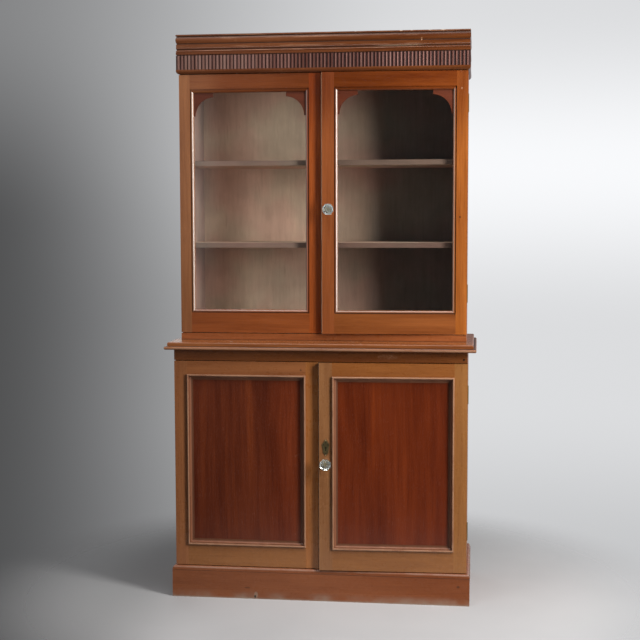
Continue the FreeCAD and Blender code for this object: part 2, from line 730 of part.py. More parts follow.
# Bookcase section: sides, bottom, two shelves, head rail, top and back.
upper_case = (upper_case_z, case_top_z)
sill_z = upper_door_z + sill_lap
upper_bottom = ((upper_front_y, inner_back_y), (sill_z - board_thickness, sill_z))
upper_top = ((upper_front_y, inner_back_y), (case_top_z - board_thickness, case_top_z))
upper_head_z = upper_door_top - head_lap
upper_head = ((upper_front_y, upper_front_y + rail_thickness),
              (upper_head_z, upper_head_z + upper_head_height))
book_shelves = []
for rise in (low_shelf_rise, high_shelf_rise):
    shelf_z = upper_case_z + rise
    book_shelves.append(((upper_front_y + shelf_setback, inner_back_y),
                         (shelf_z - board_thickness, shelf_z)))
for side_name, side_hand in (("upper_side_left", LEFT), ("upper_side_right", RIGHT)):
    case_side(side_name, side_hand, upper_half, upper_front_y, upper_case,
              [upper_bottom, upper_head, upper_top] + book_shelves,
              (upper_door_z, upper_door_top))
node("upper_bottom_board", inner_board("upper_bottom_board", upper_half, *upper_bottom).body)
node("upper_top_board", inner_board("upper_top_board", upper_half, *upper_top).body)
node("upper_head_rail", inner_board("upper_head_rail", upper_half, *upper_head).body)
group("upper_shelves", [inner_board(f"upper_shelf_{number}", upper_half, *spans)
                        for number, spans in enumerate(book_shelves, 1)])
back_boards("upper_back_boards", upper_half, upper_case)
node("frieze_board", board("frieze_board", (-upper_half, upper_half),
                           (upper_face_y, upper_front_y), (bead_z, case_top_z)).body)

# Bead under the reeds: a fillet over an ovolo that draws in to the doors.
moulding_reach = (as_size(0), moulding_projection)
bead_ovolo = bead_height - bead_fillet
bead_section = [
    (0, bead_z),
    (bead_foot, bead_z),
    (moulding_projection, bead_z + bead_ovolo, bead_ovolo, 1),
    (moulding_projection, reeds_z),
    (0, reeds_z),
]


def case_run(label, where, section, z):
    return case_moulding(label, where, upper_half, upper_face_y, section, moulding_reach, z)


def run_and_returns(label, section, z):
    """Run a moulding along the front and back along both sides."""
    return [case_run(f"{label}_{name}", where, section, z)
            for name, where in (("front", 0), ("left", LEFT), ("right", RIGHT))]


group("frieze_bead", run_and_returns("frieze_bead", bead_section, (bead_z, reeds_z)))

# Reeded frieze: upright reeds with rounded faces on a thin strip.
reed_rise = moulding_projection - frieze_backing
strip_section = [
    (0, reeds_z),
    (frieze_backing, reeds_z),
    (frieze_backing, cornice_z),
    (0, cornice_z),
]
front_reed_start = -(upper_half + frieze_backing)
front_reed_pitch = (upper_half + frieze_backing) * 2 / front_reeds
front_strip_y = upper_face_y - frieze_backing
side_strip_x = upper_half + frieze_backing
side_reed_start = front_strip_y
side_reed_pitch = (back_y - side_reed_start) / side_reeds


def add_reeds(piece, where, count):
    """Stand a row of reeds on a strip."""
    start, pitch, face, out = ((front_reed_start, front_reed_pitch, front_strip_y, -1)
                               if where == 0 else
                               (side_reed_start, side_reed_pitch, where * side_strip_x, where))
    width = pitch - reed_gap
    low = start + reed_gap / 2
    crown = face + out * (reed_rise - reed_crown)
    radius = (width * width / 4 + reed_crown * reed_crown) / (reed_crown * 2)
    plan = [(low, face), (low + width, face), (low + width, crown), (low, crown, radius, 1)]
    if where == 0:
        plan[3] = (low, crown, radius, -1)
        direction = "H_Axis"
    else:
        plan = [(point[1], point[0]) + tuple(point[2:]) for point in plan]
        plan[3] = plan[3][:3] + (where,)
        direction = "V_Axis"
    profile = piece.outline("XY_Plane", reeds_z, plan)
    reed = piece.pad(profile, frieze_height)
    row = piece.body.newObject("PartDesign::LinearPattern", f"{piece.body.Name}_row")
    row.Originals = [reed]
    row.Direction = (profile[0], [direction])
    set_size(row, "Length", pitch * (count - 1))
    row.Occurrences = count
    piece.body.Tip = row
    return piece


strip_z = (reeds_z, cornice_z)
strip_reach = (as_size(0), frieze_backing)


def reeded_strip(label, where, count):
    strip = case_moulding(label, where, upper_half, upper_face_y, strip_section,
                          strip_reach, strip_z)
    return add_reeds(strip, where, count)


def round_corner(piece, hand):
    """Turn the last front reed round the case's corner."""
    inner = hand * (side_strip_x - reed_gap / 2)
    crest = front_strip_y - reed_rise
    plan = [
        (inner, front_strip_y),
        (hand * (side_strip_x + reed_rise), front_strip_y),
        (hand * side_strip_x, crest, reed_rise, -hand),
        (inner, crest),
    ]
    piece.pad(piece.outline("XY_Plane", reeds_z, plan), frieze_height)


reeded_frieze = reeded_strip("reeded_frieze", 0, front_reeds)
for side_hand in (LEFT, RIGHT):
    round_corner(reeded_frieze, side_hand)
node("reeded_frieze", reeded_frieze.body)
group("reeded_returns", [reeded_strip("reeded_return_left", LEFT, side_reeds),
                         reeded_strip("reeded_return_right", RIGHT, side_reeds)])

# Cornice: from the foot up, a recess, a fascia, two reeds, a fascia, a quirk,
# a broad torus, a second quirk and a rounded crown.

def cornice_profile():
    """List the cornice's section from its foot to its crown."""
    steps = [
        ("line", recess_back, 0),
        ("line", recess_back, 3),
        ("line", lower_fascia, 3),
        ("line", lower_fascia, 12),
        ("line", round_back, 12),
        ("arc", round_back, 12 + small_round, small_round_radius),
        ("line", quirk_back, 12 + small_round),
        ("line", quirk_back, 22),
        ("line", round_back, 22),
        ("arc", round_back, 22 + small_round, small_round_radius),
        ("line", upper_fascia, 22 + small_round),
        ("line", upper_fascia, 39),
        ("line", quirk_back, 39),
        ("line", quirk_back, 43),
        ("line", round_back, 43),
        ("arc", round_back, 65, torus_radius),
        ("line", quirk_back, 65),
        ("line", quirk_back, 68.5),
        ("line", moulding_projection, 68.5),
        ("line", moulding_projection, cornice_height - crown_round),
        ("arc", moulding_projection - crown_round, cornice_height, crown_round),
        ("line", 0, cornice_height),
    ]
    points = [(0, cornice_z)]
    for kind, out, up, *radius in steps:
        points.append((out, cornice_z + up) if kind == "line"
                      else (out, cornice_z + up, radius[0], 1))
    return points


cornice = run_and_returns("cornice", cornice_profile(), (cornice_z, crown_z))
node("cornice_front", cornice[0].body)
group("cornice_returns", cornice[1:])


class Door:
    """The places of one door, in its own inward and outward terms."""

    def __init__(self, prefix, hand, half, face_y, z, widths):
        self.prefix = prefix
        self.hand = hand
        self.half = half
        self.y = (face_y, face_y + door_thickness)
        self.z = z
        meeting_stile, hinge_stile, head, foot = widths
        self.edge = meeting_gap / 2
        self.inner = (self.edge + meeting_stile, half - hinge_stile)
        self.inner_z = (z[0] + foot, z[1] - head)
        self.middle_y = face_y + door_thickness / 2

    def span(self, inner, outer):
        return hand_span(self.hand, inner, outer)

    def opening_x(self):
        return self.span(*self.inner)


def tenon_levels(door):
    """Give the z spans of the two rails' tenons, foot first."""
    return [(door.z[0] + tenon_shoulder, door.inner_z[0] - tenon_shoulder),
            (door.inner_z[1] + tenon_shoulder, door.z[1] - tenon_shoulder)]


def door_frame(door):
    """Make the stiles with mortises and the rails with tenons."""
    tenon_y = (door.middle_y - tenon_thickness / 2, door.middle_y + tenon_thickness / 2)
    stiles = []
    rails = []
    depth = tenon_length + mortise_relief
    for name, span, mortise in (
            ("meeting_stile", (door.edge, door.inner[0]), (door.inner[0] - depth, door.inner[0])),
            ("hinge_stile", (door.inner[1], door.half), (door.inner[1], door.inner[1] + depth))):
        stile = board(f"{door.prefix}_{name}", door.span(*span), door.y, door.z)
        for levels in tenon_levels(door):
            stile.cut_box(door.span(*mortise), tenon_y, levels)
        stiles.append(stile)
    for name, z, levels in (
            ("bottom_rail", (door.z[0], door.inner_z[0]), tenon_levels(door)[0]),
            ("top_rail", (door.inner_z[1], door.z[1]), tenon_levels(door)[1])):
        rail = board(f"{door.prefix}_{name}", door.opening_x(), door.y, z)
        rail.box(door.span(door.inner[0] - tenon_length, door.inner[1] + tenon_length),
                 tenon_y, levels)
        rails.append(rail)
    for levels in hinge_levels(*door.z):
        cut_leaf_seat(stiles[1], door.hand, door.half, (door.y[1] - leaf_thickness, door.y[1]),
                      door.y[1] + closing_gap, levels)
    return stiles, rails


sticking_section = [
    (0, sticking_depth),
    (0, quirk_depth),
    (sticking_quirk, quirk_depth),
    (sticking_quirk, ovolo_drop),
    (sticking_width, ovolo_drop + sticking_width - sticking_quirk,
     sticking_width - sticking_quirk, 1),
    (sticking_width, sticking_depth),
]


def add_sticking(door, stiles, rails):
    """Mould the inner edges of a glazed door's frame, mitred at the corners."""
    face_y = door.y[0]
    x = door.opening_x()
    z = door.inner_z
    depth = (face_y, face_y + sticking_depth)
    uprights = stiles if door.hand == RIGHT else stiles[::-1]
    for end, stile in enumerate(uprights):
        way = 1 - 2 * end
        points = placed(sticking_section,
                        lambda q, d: (x[end] + way * q, face_y + d), way)
        stile.pad(stile.outline("XY_Plane", z[0], points), z[1] - z[0])
        for other in (0, 1):
            corner_mitre(stile, (x[end], z[other]), (way, 1 - 2 * other), sticking_width, True,
                         depth)
    for end, rail in enumerate(rails):
        way = 1 - 2 * end
        points = placed(sticking_section,
                        lambda q, d: (face_y + d, z[end] + way * q), -way)
        rail.pad(rail.outline("YZ_Plane", x[0], points), x[1] - x[0])
        for other in (0, 1):
            corner_mitre(rail, (x[other], z[end]), (1 - 2 * other, way), sticking_width, False,
                         depth)


def glaze(door):
    """Set the pane behind the sticking, with beads behind it and brackets before it."""
    face_y = door.y[0]
    x = door.opening_x()
    z = door.inner_z
    glass_y = (face_y + sticking_depth, face_y + sticking_depth + glass_thickness)
    pane = board(f"{door.prefix}_glass", (x[0] + glass_relief, x[1] - glass_relief), glass_y,
                 (z[0] + glass_relief, z[1] - glass_relief))
    node(f"{door.prefix}_glass", pane.body)
    front = sticking_depth + glass_thickness
    bead = [
        (0, front),
        (glazing_bead_width, front),
        (glazing_bead_width, door_thickness - glazing_bead_bevel),
        (glazing_bead_width - glazing_bead_bevel, door_thickness),
        (0, door_thickness),
    ]
    frame_moulding(f"{door.prefix}_glazing_beads", x, z, face_y, bead, glazing_bead_width,
                   (front, door_thickness))
    brackets = []
    high_y = glass_y[0] - spandrel_relief
    top = z[1] - sticking_width
    for name, edge, way in (("left", x[0] + sticking_width, 1),
                            ("right", x[1] - sticking_width, -1)):
        outline = [
            (edge, top),
            (edge + way * spandrel_reach, top),
            (edge + way * spandrel_reach, top - spandrel_step),
            (edge + way * spandrel_foot, top - spandrel_drop, spandrel_curve, way),
            (edge, top - spandrel_drop),
        ]
        bracket = Piece(f"{door.prefix}_spandrel_{name}", (edge, high_y, top))
        bracket.pad(bracket.outline("XZ_Plane", high_y, outline), spandrel_thickness, -1)
        brackets.append(bracket)
    group(f"{door.prefix}_spandrels", brackets)


def fill_panel(door, stiles, rails):
    """Groove the frame, set a panel in it and plant the moulding round it."""
    face_y = door.y[0]
    x = door.opening_x()
    z = door.inner_z
    panel_y = (face_y + panel_depth, face_y + panel_depth + panel_thickness)
    groove_z = (z[0] - panel_groove, z[1] + panel_groove)
    stiles[0].cut_box(door.span(door.inner[0] - panel_groove, door.inner[0]), panel_y, groove_z)
    stiles[1].cut_box(door.span(door.inner[1], door.inner[1] + panel_groove), panel_y, groove_z)
    rails[0].cut_box(x, panel_y, (groove_z[0], z[0]))
    rails[1].cut_box(x, panel_y, (z[1], groove_z[1]))
    reach = panel_groove - panel_relief
    panel = board(f"{door.prefix}_panel", (x[0] - reach, x[1] + reach), panel_y,
                  (z[0] - reach, z[1] + reach))
    node(f"{door.prefix}_panel", panel.body)
    edge_depth = bead_rise - bolection_rise
    bead_radius = (outer_bead * outer_bead / 4 + bead_rise * bead_rise) / (bead_rise * 2)
    cove_depth = panel_depth - inner_fillet - inner_cove
    cove_start = outer_bead + bead_step
    moulding = [
        (0, panel_depth),
        (0, edge_depth),
        (outer_bead, edge_depth, bead_radius, 1),
        (outer_bead, cove_depth),
        (cove_start, cove_depth),
        (cove_start + inner_cove, cove_depth + inner_cove, inner_cove, -1),
        (bolection_width, panel_depth - inner_fillet),
        (bolection_width, panel_depth),
    ]
    frame_moulding(f"{door.prefix}_panel_moulding", x, z, face_y, moulding, bolection_width,
                   (-bolection_rise - 1, panel_depth + 1))


def hinge_leaf(label, hand, half, front_y, z, on_door):
    """Make a leaf with its knuckles: the frame's holds the pin, the door's is bored."""
    axis_x = half + knuckle_stand
    axis_y = front_y - axis_depth
    leaf_y = (front_y, front_y + leaf_thickness)
    if on_door:
        leaf_y = (front_y - closing_gap - leaf_thickness, front_y - closing_gap)
    clear_x = axis_x - knuckle_radius - knuckle_relief
    leaf = board(label, hand_span(hand, axis_x - leaf_width, clear_x), leaf_y, z)
    pitch = (hinge_height + knuckle_gap) / knuckle_count
    for index in range(1 if on_door else 0, knuckle_count, 2):
        low = z[0] + pitch * index
        levels = (low, low + pitch - knuckle_gap)
        leaf.box(hand_span(hand, clear_x, axis_x), leaf_y, levels)
        leaf.barrel(hand * axis_x, axis_y, levels, knuckle_radius)
    if on_door:
        bore = (pin_radius + pin_clearance) / math.cos(math.pi / knuckle_sides)
        leaf.cut_barrel(hand * axis_x, axis_y, z, bore)
    else:
        leaf.barrel(hand * axis_x, axis_y, z, pin_radius)
    return leaf


frame_leaves = []


def hang(door, front_y):
    """Hang a door on two butt hinges with their knuckles outside the case."""
    door_leaves = []
    for number, levels in enumerate(hinge_levels(*door.z), 1):
        name = f"{door.prefix}_hinge_{number}"
        frame_leaves.append(
            hinge_leaf(f"{name}_frame_leaf", door.hand, door.half, front_y, levels, False))
        door_leaves.append(
            hinge_leaf(f"{name}_door_leaf", door.hand, door.half, front_y, levels, True))
    group(f"{door.prefix}_hinge_leaves", door_leaves)


glazed_frame = (meeting_stile_width, hinge_stile_width, upper_head_width, upper_foot_width)
panelled_frame = (lower_stile_width, lower_stile_width, lower_head_width, lower_foot_width)
glazed_doors = {}
panelled_doors = {}
for side_name, side_hand in (("left", LEFT), ("right", RIGHT)):
    glazed = Door(f"upper_{side_name}", side_hand, upper_half, upper_face_y,
                  (upper_door_z, upper_door_top), glazed_frame)
    glazed_stiles, glazed_rails = door_frame(glazed)
    add_sticking(glazed, glazed_stiles, glazed_rails)
    glaze(glazed)
    hang(glazed, upper_front_y)
    glazed_doors[side_hand] = (glazed, glazed_stiles, glazed_rails)
    panelled = Door(f"lower_{side_name}", side_hand, lower_half, lower_face_y,
                    (lower_door_z, lower_door_top), panelled_frame)
    panelled_stiles, panelled_rails = door_frame(panelled)
    fill_panel(panelled, panelled_stiles, panelled_rails)
    hang(panelled, lower_front_y)
    panelled_doors[side_hand] = (panelled, panelled_stiles, panelled_rails)
group("hinge_frame_leaves", frame_leaves)


def cut_glass_knob(prefix, stile, face_y, z):
    """Fix a cut-glass knob to a stile with its brass rose, neck and square spindle."""
    x = knob_inset
    rose_y = face_y - rose_thickness
    cup_y = rose_y - neck_length
    shank = Piece(f"{prefix}_knob_shank", (x, face_y, z))
    shank.pad(shank.outline("XZ_Plane", face_y, ring((x, z), rose_radius, shank_sides)),
              rose_thickness, -1)
    shank.pad(shank.outline("XZ_Plane", rose_y, ring((x, z), neck_radius, shank_sides)),
              neck_length, -1)
    half = spindle_width / 2
    shank.pad(shank.outline("XZ_Plane", face_y, rectangle((x - half, x + half),
                                                          (z - half, z + half))),
              door_thickness)
    half = half + spindle_clearance
    stile.cut(stile.outline("XZ_Plane", face_y, rectangle((x - half, x + half),
                                                          (z - half, z + half))),
              door_thickness)
    node(f"{prefix}_knob_shank", shank.body)
    glass = Piece(f"{prefix}_knob_glass", (x, cup_y, z))
    length = knob_back_length + knob_girdle + knob_crown_length
    table_y = cup_y - length
    prism = glass.pad(glass.outline("XZ_Plane", cup_y, ring((x, z), knob_radius, knob_sides)),
                      length, -1)
    back = glass.chamfer(prism, (knob_radius - knob_back_radius) * knob_flat, knob_back_length,
                         lambda middle: abs(middle.y - cup_y.value) < 1e-3)
    glass.chamfer(back, (knob_radius - knob_table_radius) * knob_flat, knob_crown_length,
                  lambda middle: abs(middle.y - table_y.value) < 1e-3)
    node(f"{prefix}_knob_glass", glass.body)


cut_glass_knob("upper", glazed_doors[RIGHT][1][0], upper_face_y, upper_door_z + upper_knob_rise)
cut_glass_knob("lower", panelled_doors[RIGHT][1][0], lower_face_y, lower_door_z + lower_knob_rise)

# Escutcheon: a thin pierced plate over the keyhole of the right cupboard door.
lock_stile = panelled_doors[RIGHT][1][0]
strike_stile = panelled_doors[LEFT][1][0]
keyhole = (knob_inset, lower_door_z + keyhole_rise)
plate_half = escutcheon_width / 2
plate_rise = escutcheon_height / 2


def cartouche(centre):
    """Outline the plate by arcs, alike on both sides: finial, shoulders, waist and drop."""
    right = [
        (0.4, 0.78, 1.2, -1),
        (1.0, 0.42, 2.2, 1),
        (0.7, -0.1, 2.4, -1),
        (0.78, -0.48, 2.4, 1),
        (0.3, -0.8, 2.2, -1),
        (0.0, -1.0, 1.6, -1),
    ]
    ends = [(0.0, 1.0)] + [(across, up) for across, up, bend, turn in right]
    points = []
    for across, up, bend, turn in right:
        points.append((centre[0] + plate_half * across, centre[1] + plate_rise * up,
                       plate_half * bend, turn))
    for (across, up), (_, _, bend, turn) in zip(ends[-2::-1], right[::-1]):
        points.append((centre[0] - plate_half * across, centre[1] + plate_rise * up,
                       plate_half * bend, turn))
    return points


def cut_key_slot(piece, width, top, y):
    """Cut an upright slot for the key through the depth y."""
    piece.cut_box((keyhole[0] - width / 2, keyhole[0] + width / 2), y,
                  (keyhole[1] - key_slot_drop, keyhole[1] + top))


escutcheon = Piece("escutcheon", (keyhole[0], lower_face_y, keyhole[1]))
escutcheon.pad(escutcheon.outline("XZ_Plane", lower_face_y, cartouche(keyhole)),
               escutcheon_thickness, -1)
escutcheon_y = (lower_face_y - escutcheon_thickness, lower_face_y)
escutcheon.cut(escutcheon.disc("XZ_Plane", escutcheon_y[0], keyhole, key_radius),
               escutcheon_thickness)
cut_key_slot(escutcheon, key_slot_width, 0, escutcheon_y)
for across, up in ((0.0, 0.6), (-0.6, 0.34), (0.6, 0.34), (0.0, -0.68)):
    hole = (keyhole[0] + plate_half * across, keyhole[1] + plate_rise * up)
    lozenge = [(hole[0] - piercing_reach, hole[1]), (hole[0], hole[1] - piercing_reach),
               (hole[0] + piercing_reach, hole[1]), (hole[0], hole[1] + piercing_reach)]
    escutcheon.cut(escutcheon.outline("XZ_Plane", escutcheon_y[0], lozenge),
                   escutcheon_thickness)
node("escutcheon", escutcheon.body)

# Lock: a case let into the stile's back, whose bolt shoots into the left door.
lock_x = (meeting_gap / 2, meeting_gap / 2 + lock_width)
lock_y = (door_back_y - lock_depth, door_back_y)
lock_z = (keyhole[1] - lock_height / 2, keyhole[1] + lock_height / 2)
lock_stile.cut_box(lock_x, lock_y, lock_z)
cut_key_slot(lock_stile, key_radius * 2, key_radius, (lower_face_y, lock_y[0]))
bolt_z = (keyhole[1] + bolt_rise - bolt_height / 2, keyhole[1] + bolt_rise + bolt_height / 2)
bolt_mid_y = door_back_y - lock_depth / 2
bolt_y = (bolt_mid_y - bolt_thickness / 2, bolt_mid_y + bolt_thickness / 2)
lock_case = board("lock_case", lock_x, lock_y, lock_z)
lock_case.cut_box((lock_x[0], lock_x[0] + bolt_length + bolt_clearance * 2),
                  (bolt_y[0] - bolt_clearance, bolt_y[1] + bolt_clearance),
                  (bolt_z[0] - bolt_clearance, bolt_z[1] + bolt_clearance))
cut_key_slot(lock_case, key_slot_width, key_radius, (lock_y[0], lock_y[0] + lock_depth / 2))
node("lock_case", lock_case.body)
lock_bolt = board("lock_bolt", (lock_x[0] + bolt_clearance,
                                lock_x[0] + bolt_clearance + bolt_length), bolt_y, bolt_z)
node("lock_bolt", lock_bolt.body)
strike_y = (bolt_y[0] - strike_clearance, bolt_y[1] + strike_clearance)
strike_z = (bolt_z[0] - strike_clearance, bolt_z[1] + strike_clearance)
strike_x = -meeting_gap / 2
strike_stile.cut_box((strike_x - bolt_throw, strike_x), strike_y, strike_z)
plate_y = (bolt_mid_y - strike_width / 2, bolt_mid_y + strike_width / 2)
plate_mid_z = keyhole[1] + bolt_rise
plate_z = (plate_mid_z - strike_height / 2, plate_mid_z + strike_height / 2)
strike_stile.cut_box((strike_x - strike_thickness, strike_x), (plate_y[0], plate_y[1]), plate_z)
strike_plate = board("strike_plate", (strike_x - strike_thickness, strike_x), plate_y, plate_z)
strike_plate.cut_box((strike_x - strike_thickness, strike_x), strike_y, strike_z)
node("strike_plate", strike_plate.body)


def bar_bolt(name, stop_z, way):
    """Make a bolt's stapled plate and its bar; way is 1 where it shoots upward."""
    def levels(near, far):
        ends = (stop_z - way * near, stop_z - way * far)
        return ends if way < 0 else (ends[1], ends[0])

    plate_y = (door_back_y, door_back_y + bolt_plate_thickness)
    plate = board(f"{name}_plate", (-bar_inset - bolt_plate_width / 2,
                                    -bar_inset + bolt_plate_width / 2), plate_y,
                  levels(bolt_plate_gap, bolt_plate_gap + bolt_plate_height))
    near_staple = bolt_plate_gap + staple_inset
    far_staple = bolt_plate_gap + bolt_plate_height - staple_inset - staple_height
    for start in (near_staple, far_staple):
        staple_z = levels(start, start + staple_height)
        plate.box((socket_x[0] - staple_wall, socket_x[1] + staple_wall),
                  (plate_y[1], socket_y[1] + staple_wall), staple_z)
        plate.cut_box(socket_x, (plate_y[1], socket_y[1]), staple_z)
    bar_z = levels(bar_rest_gap, bar_rest_gap + bar_length)
    bar = board(name, bar_x, bar_y, bar_z)
    thumb = levels(thumb_drop - thumb_width / 2, thumb_drop + thumb_width / 2)
    bar.box((-bar_inset - thumb_width / 2, -bar_inset + thumb_width / 2),
            (bar_y[1], bar_y[1] + thumb_length), thumb)
    node(name, bar.body)
    return plate


group("bolt_plates", [bar_bolt("top_bolt", lower_head[1][0], 1),
                      bar_bolt("bottom_bolt", lower_case_z, -1)])
for made, stiles, rails in list(glazed_doors.values()) + list(panelled_doors.values()):
    group(f"{made.prefix}_stiles", stiles)
    group(f"{made.prefix}_rails", rails)


def stand_ajar(half, front_y, *names):
    """Turn all that a right-hand door carries about its hinges."""
    for piece in pieces:
        name = piece.body.Name
        if name.startswith(names) and not name.endswith("frame_leaf"):
            piece.turn(half + knuckle_stand, front_y - axis_depth,
                       ajar_angle, ajar_sine, ajar_cosine)


stand_ajar(upper_half, upper_front_y, "upper_right", "upper_knob")
stand_ajar(lower_half, lower_front_y, "lower_right", "lower_knob", "escutcheon", "lock")


def check_document():
    """Stop on a failed object, a bad solid, or a cut that takes nothing away."""
    for thing in doc.Objects:
        if {"Invalid", "Error"} & set(thing.State):
            raise RuntimeError(f"{thing.Label} failed: {thing.State}")
    for feature in cuts:
        before = feature.BaseFeature.Shape.Volume
        if feature.Shape.Volume > before - 1e-3:
            raise RuntimeError(f"{feature.Label} cuts nothing")
    for thing in nodes:
        shape = thing.Shape
        if shape.isNull() or not shape.isValid() or not shape.Solids:
            raise RuntimeError(f"{thing.Label} is not a valid solid")


doc.recompute()
check_document()
os.makedirs("parts", exist_ok=True)
for thing in nodes:
    thing.Shape.exportStep(f"parts/{thing.Label}.step")
print(f"{len(nodes)} nodes written")
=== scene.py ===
import json
import math

import bpy
from mathutils import Matrix, Vector


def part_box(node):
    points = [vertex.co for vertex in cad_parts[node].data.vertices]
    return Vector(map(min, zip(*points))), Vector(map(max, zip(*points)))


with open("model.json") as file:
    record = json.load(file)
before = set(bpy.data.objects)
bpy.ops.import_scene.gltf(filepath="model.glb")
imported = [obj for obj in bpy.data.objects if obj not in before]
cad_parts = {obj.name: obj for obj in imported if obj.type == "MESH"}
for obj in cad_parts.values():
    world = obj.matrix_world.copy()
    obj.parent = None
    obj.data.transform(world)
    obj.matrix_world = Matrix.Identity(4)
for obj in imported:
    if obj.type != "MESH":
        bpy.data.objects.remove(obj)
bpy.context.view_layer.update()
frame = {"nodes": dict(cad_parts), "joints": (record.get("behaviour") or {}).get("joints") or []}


# Plinth and base board. The case stands on a frame of mahogany boards, mitred at the front corners
# and glued up with blocks. The base board lies on it, its front edge worked to an ovolo.
# Every outer surface is French polished, and the foot is dusty, knocked and worn.
class Shade:
    """One socket of a material's nodes. Sums of these, and of numbers, become Math nodes."""

    def __init__(self, tree, socket=None):
        self.tree = tree
        self.socket = socket

    def node(self, kind, settings=None, inputs=None, output=0):
        made = self.tree.nodes.new(kind)
        for name, value in (settings or {}).items():
            setattr(made, name, value)
        for key, value in (inputs or {}).items():
            if isinstance(value, Shade):
                self.tree.links.new(value.socket, made.inputs[key])
            else:
                made.inputs[key].default_value = value
        return Shade(self.tree, made.outputs[output] if made.outputs else None)

    def out(self, key):
        """Another output of the same node."""
        return Shade(self.tree, self.socket.node.outputs[key])

    def math(self, operation, *others):
        inputs = dict(enumerate((self,) + others))
        return self.node("ShaderNodeMath", {"operation": operation}, inputs)

    def __add__(self, other):
        return self.math("ADD", other)

    def __mul__(self, other):
        return self.math("MULTIPLY", other)

    def __sub__(self, other):
        return self.math("SUBTRACT", other)

    def __rsub__(self, other):
        return self.math("MULTIPLY", -1.0) + other

    __radd__ = __add__
    __rmul__ = __mul__

    def rise(self, low, high):
        """0 below low and 1 above high, smooth between them. With low above high it falls."""
        return self.node(
            "ShaderNodeMapRange",
            {"interpolation_type": "SMOOTHSTEP"},
            {"Value": self, "From Min": low, "From Max": high},
        )

    def near(self, level, reach):
        """1 at a level, and 0 further than reach from it."""
        return (self - level).math("ABSOLUTE").rise(reach, 0.0)

    def blend(self, first, second):
        """The first colour where this is 0 and the second where it is 1."""
        colours = [c if isinstance(c, Shade) else (*c, 1.0) for c in (first, second)]
        return self.node("ShaderNodeMix", {"data_type": "RGBA"},
                         {0: self, 6: colours[0], 7: colours[1]}, output=2)

    def vector(self, operation, other):
        key = "Scale" if operation == "SCALE" else 1
        return self.node("ShaderNodeVectorMath", {"operation": operation}, {0: self, key: other})

    def noise(self, scale, detail=2.0, rough=0.5):
        return self.node("ShaderNodeTexNoise", inputs={
            "Vector": self, "Scale": scale, "Detail": detail, "Roughness": rough})


nodes = frame["nodes"]


class Finish:
    """A material in the making: a coat over wood, metal or glass, then its dirt and wear, and its
    painted shade and highlights.
    """

    def __init__(self, name, seed=0):
        self.material = bpy.data.materials.new(name)
        self.material.use_nodes = True
        self.material.node_tree.nodes.clear()
        start = Shade(self.material.node_tree)
        self.place = start.node("ShaderNodeTexCoord", output="Object")
        parts = start.node("ShaderNodeSeparateXYZ", inputs={0: self.place})
        self.across, self.back, self.up = (parts.out(axis) for axis in "XYZ")
        self.wood = self.place.vector("ADD", (seed * 1.7, seed * 2.3, seed * 3.1))

    def lay(self, coat, where=None):
        """Lay a coat of colour, roughness and relief, over the last one where the mask is 1."""
        colour, roughness, relief = coat
        if where is not None:
            colour = where.blend(self.colour, colour)
            roughness = self.roughness + (roughness - self.roughness) * where
            relief = self.relief + (relief - self.relief) * where
        self.colour, self.roughness, self.relief = colour, roughness, relief

    def paint_colour(self, where, colour, rougher=0.0):
        """Paint a colour over the coat where the mask is 1: stains, dirt and wear, and also painted
        shade and highlights.
        """
        self.colour = where.blend(self.colour, colour)
        self.roughness = self.roughness + where * rougher

    def tint(self, where, factors):
        """Darken or lighten the coat by a factor for each colour where the mask is 1, also for
        painted shade and highlights.
        """
        self.colour = where.blend(self.colour, self.colour.vector("MULTIPLY", factors))

    def patches(self, scale, low=0.4, high=0.6):
        """A mask of loose patches, so many to the metre."""
        return self.place.noise(scale, 3.0, 0.6).rise(low, high)

    def mark(self, x, z, half_width, half_height):
        """1 inside a small oval at a place on the front, and 0 outside it."""
        over = (self.across - x) * (1.0 / half_width)
        above = (self.up - z) * (1.0 / half_height)
        return (over * over + above * above).rise(1.4, 0.5)

    def close(self, *names, specular=0.5, metallic=0.0):
        """Make the surface, with the relief in metres, and give it to CAD nodes."""
        bump = self.place.node("ShaderNodeBump", inputs={"Height": self.relief, "Distance": 1.0})
        surface = self.place.node("ShaderNodeBsdfPrincipled", inputs={
            "Base Color": self.colour, "Roughness": self.roughness, "Normal": bump,
            "Specular IOR Level": specular, "Metallic": metallic})
        self.dress(surface, *names)

    def dress(self, surface, *names):
        """End the material with a surface and give it to CAD nodes."""
        self.place.node("ShaderNodeOutputMaterial", inputs={"Surface": surface})
        for name in names:
            nodes[name].material_slots[0].material = self.material


def drawn_out(place, grain, stretch, scale, detail=2.0, rough=0.5):
    """Noise of so many cells to the metre across the grain, and longer along it."""
    factors = [stretch if axis == grain else 1.0 for axis in "xyz"]
    return place.vector("MULTIPLY", factors).noise(scale, detail, rough)


def shaded(tone, *factors):
    return tuple(part * factor for part, factor in zip(tone, factors))


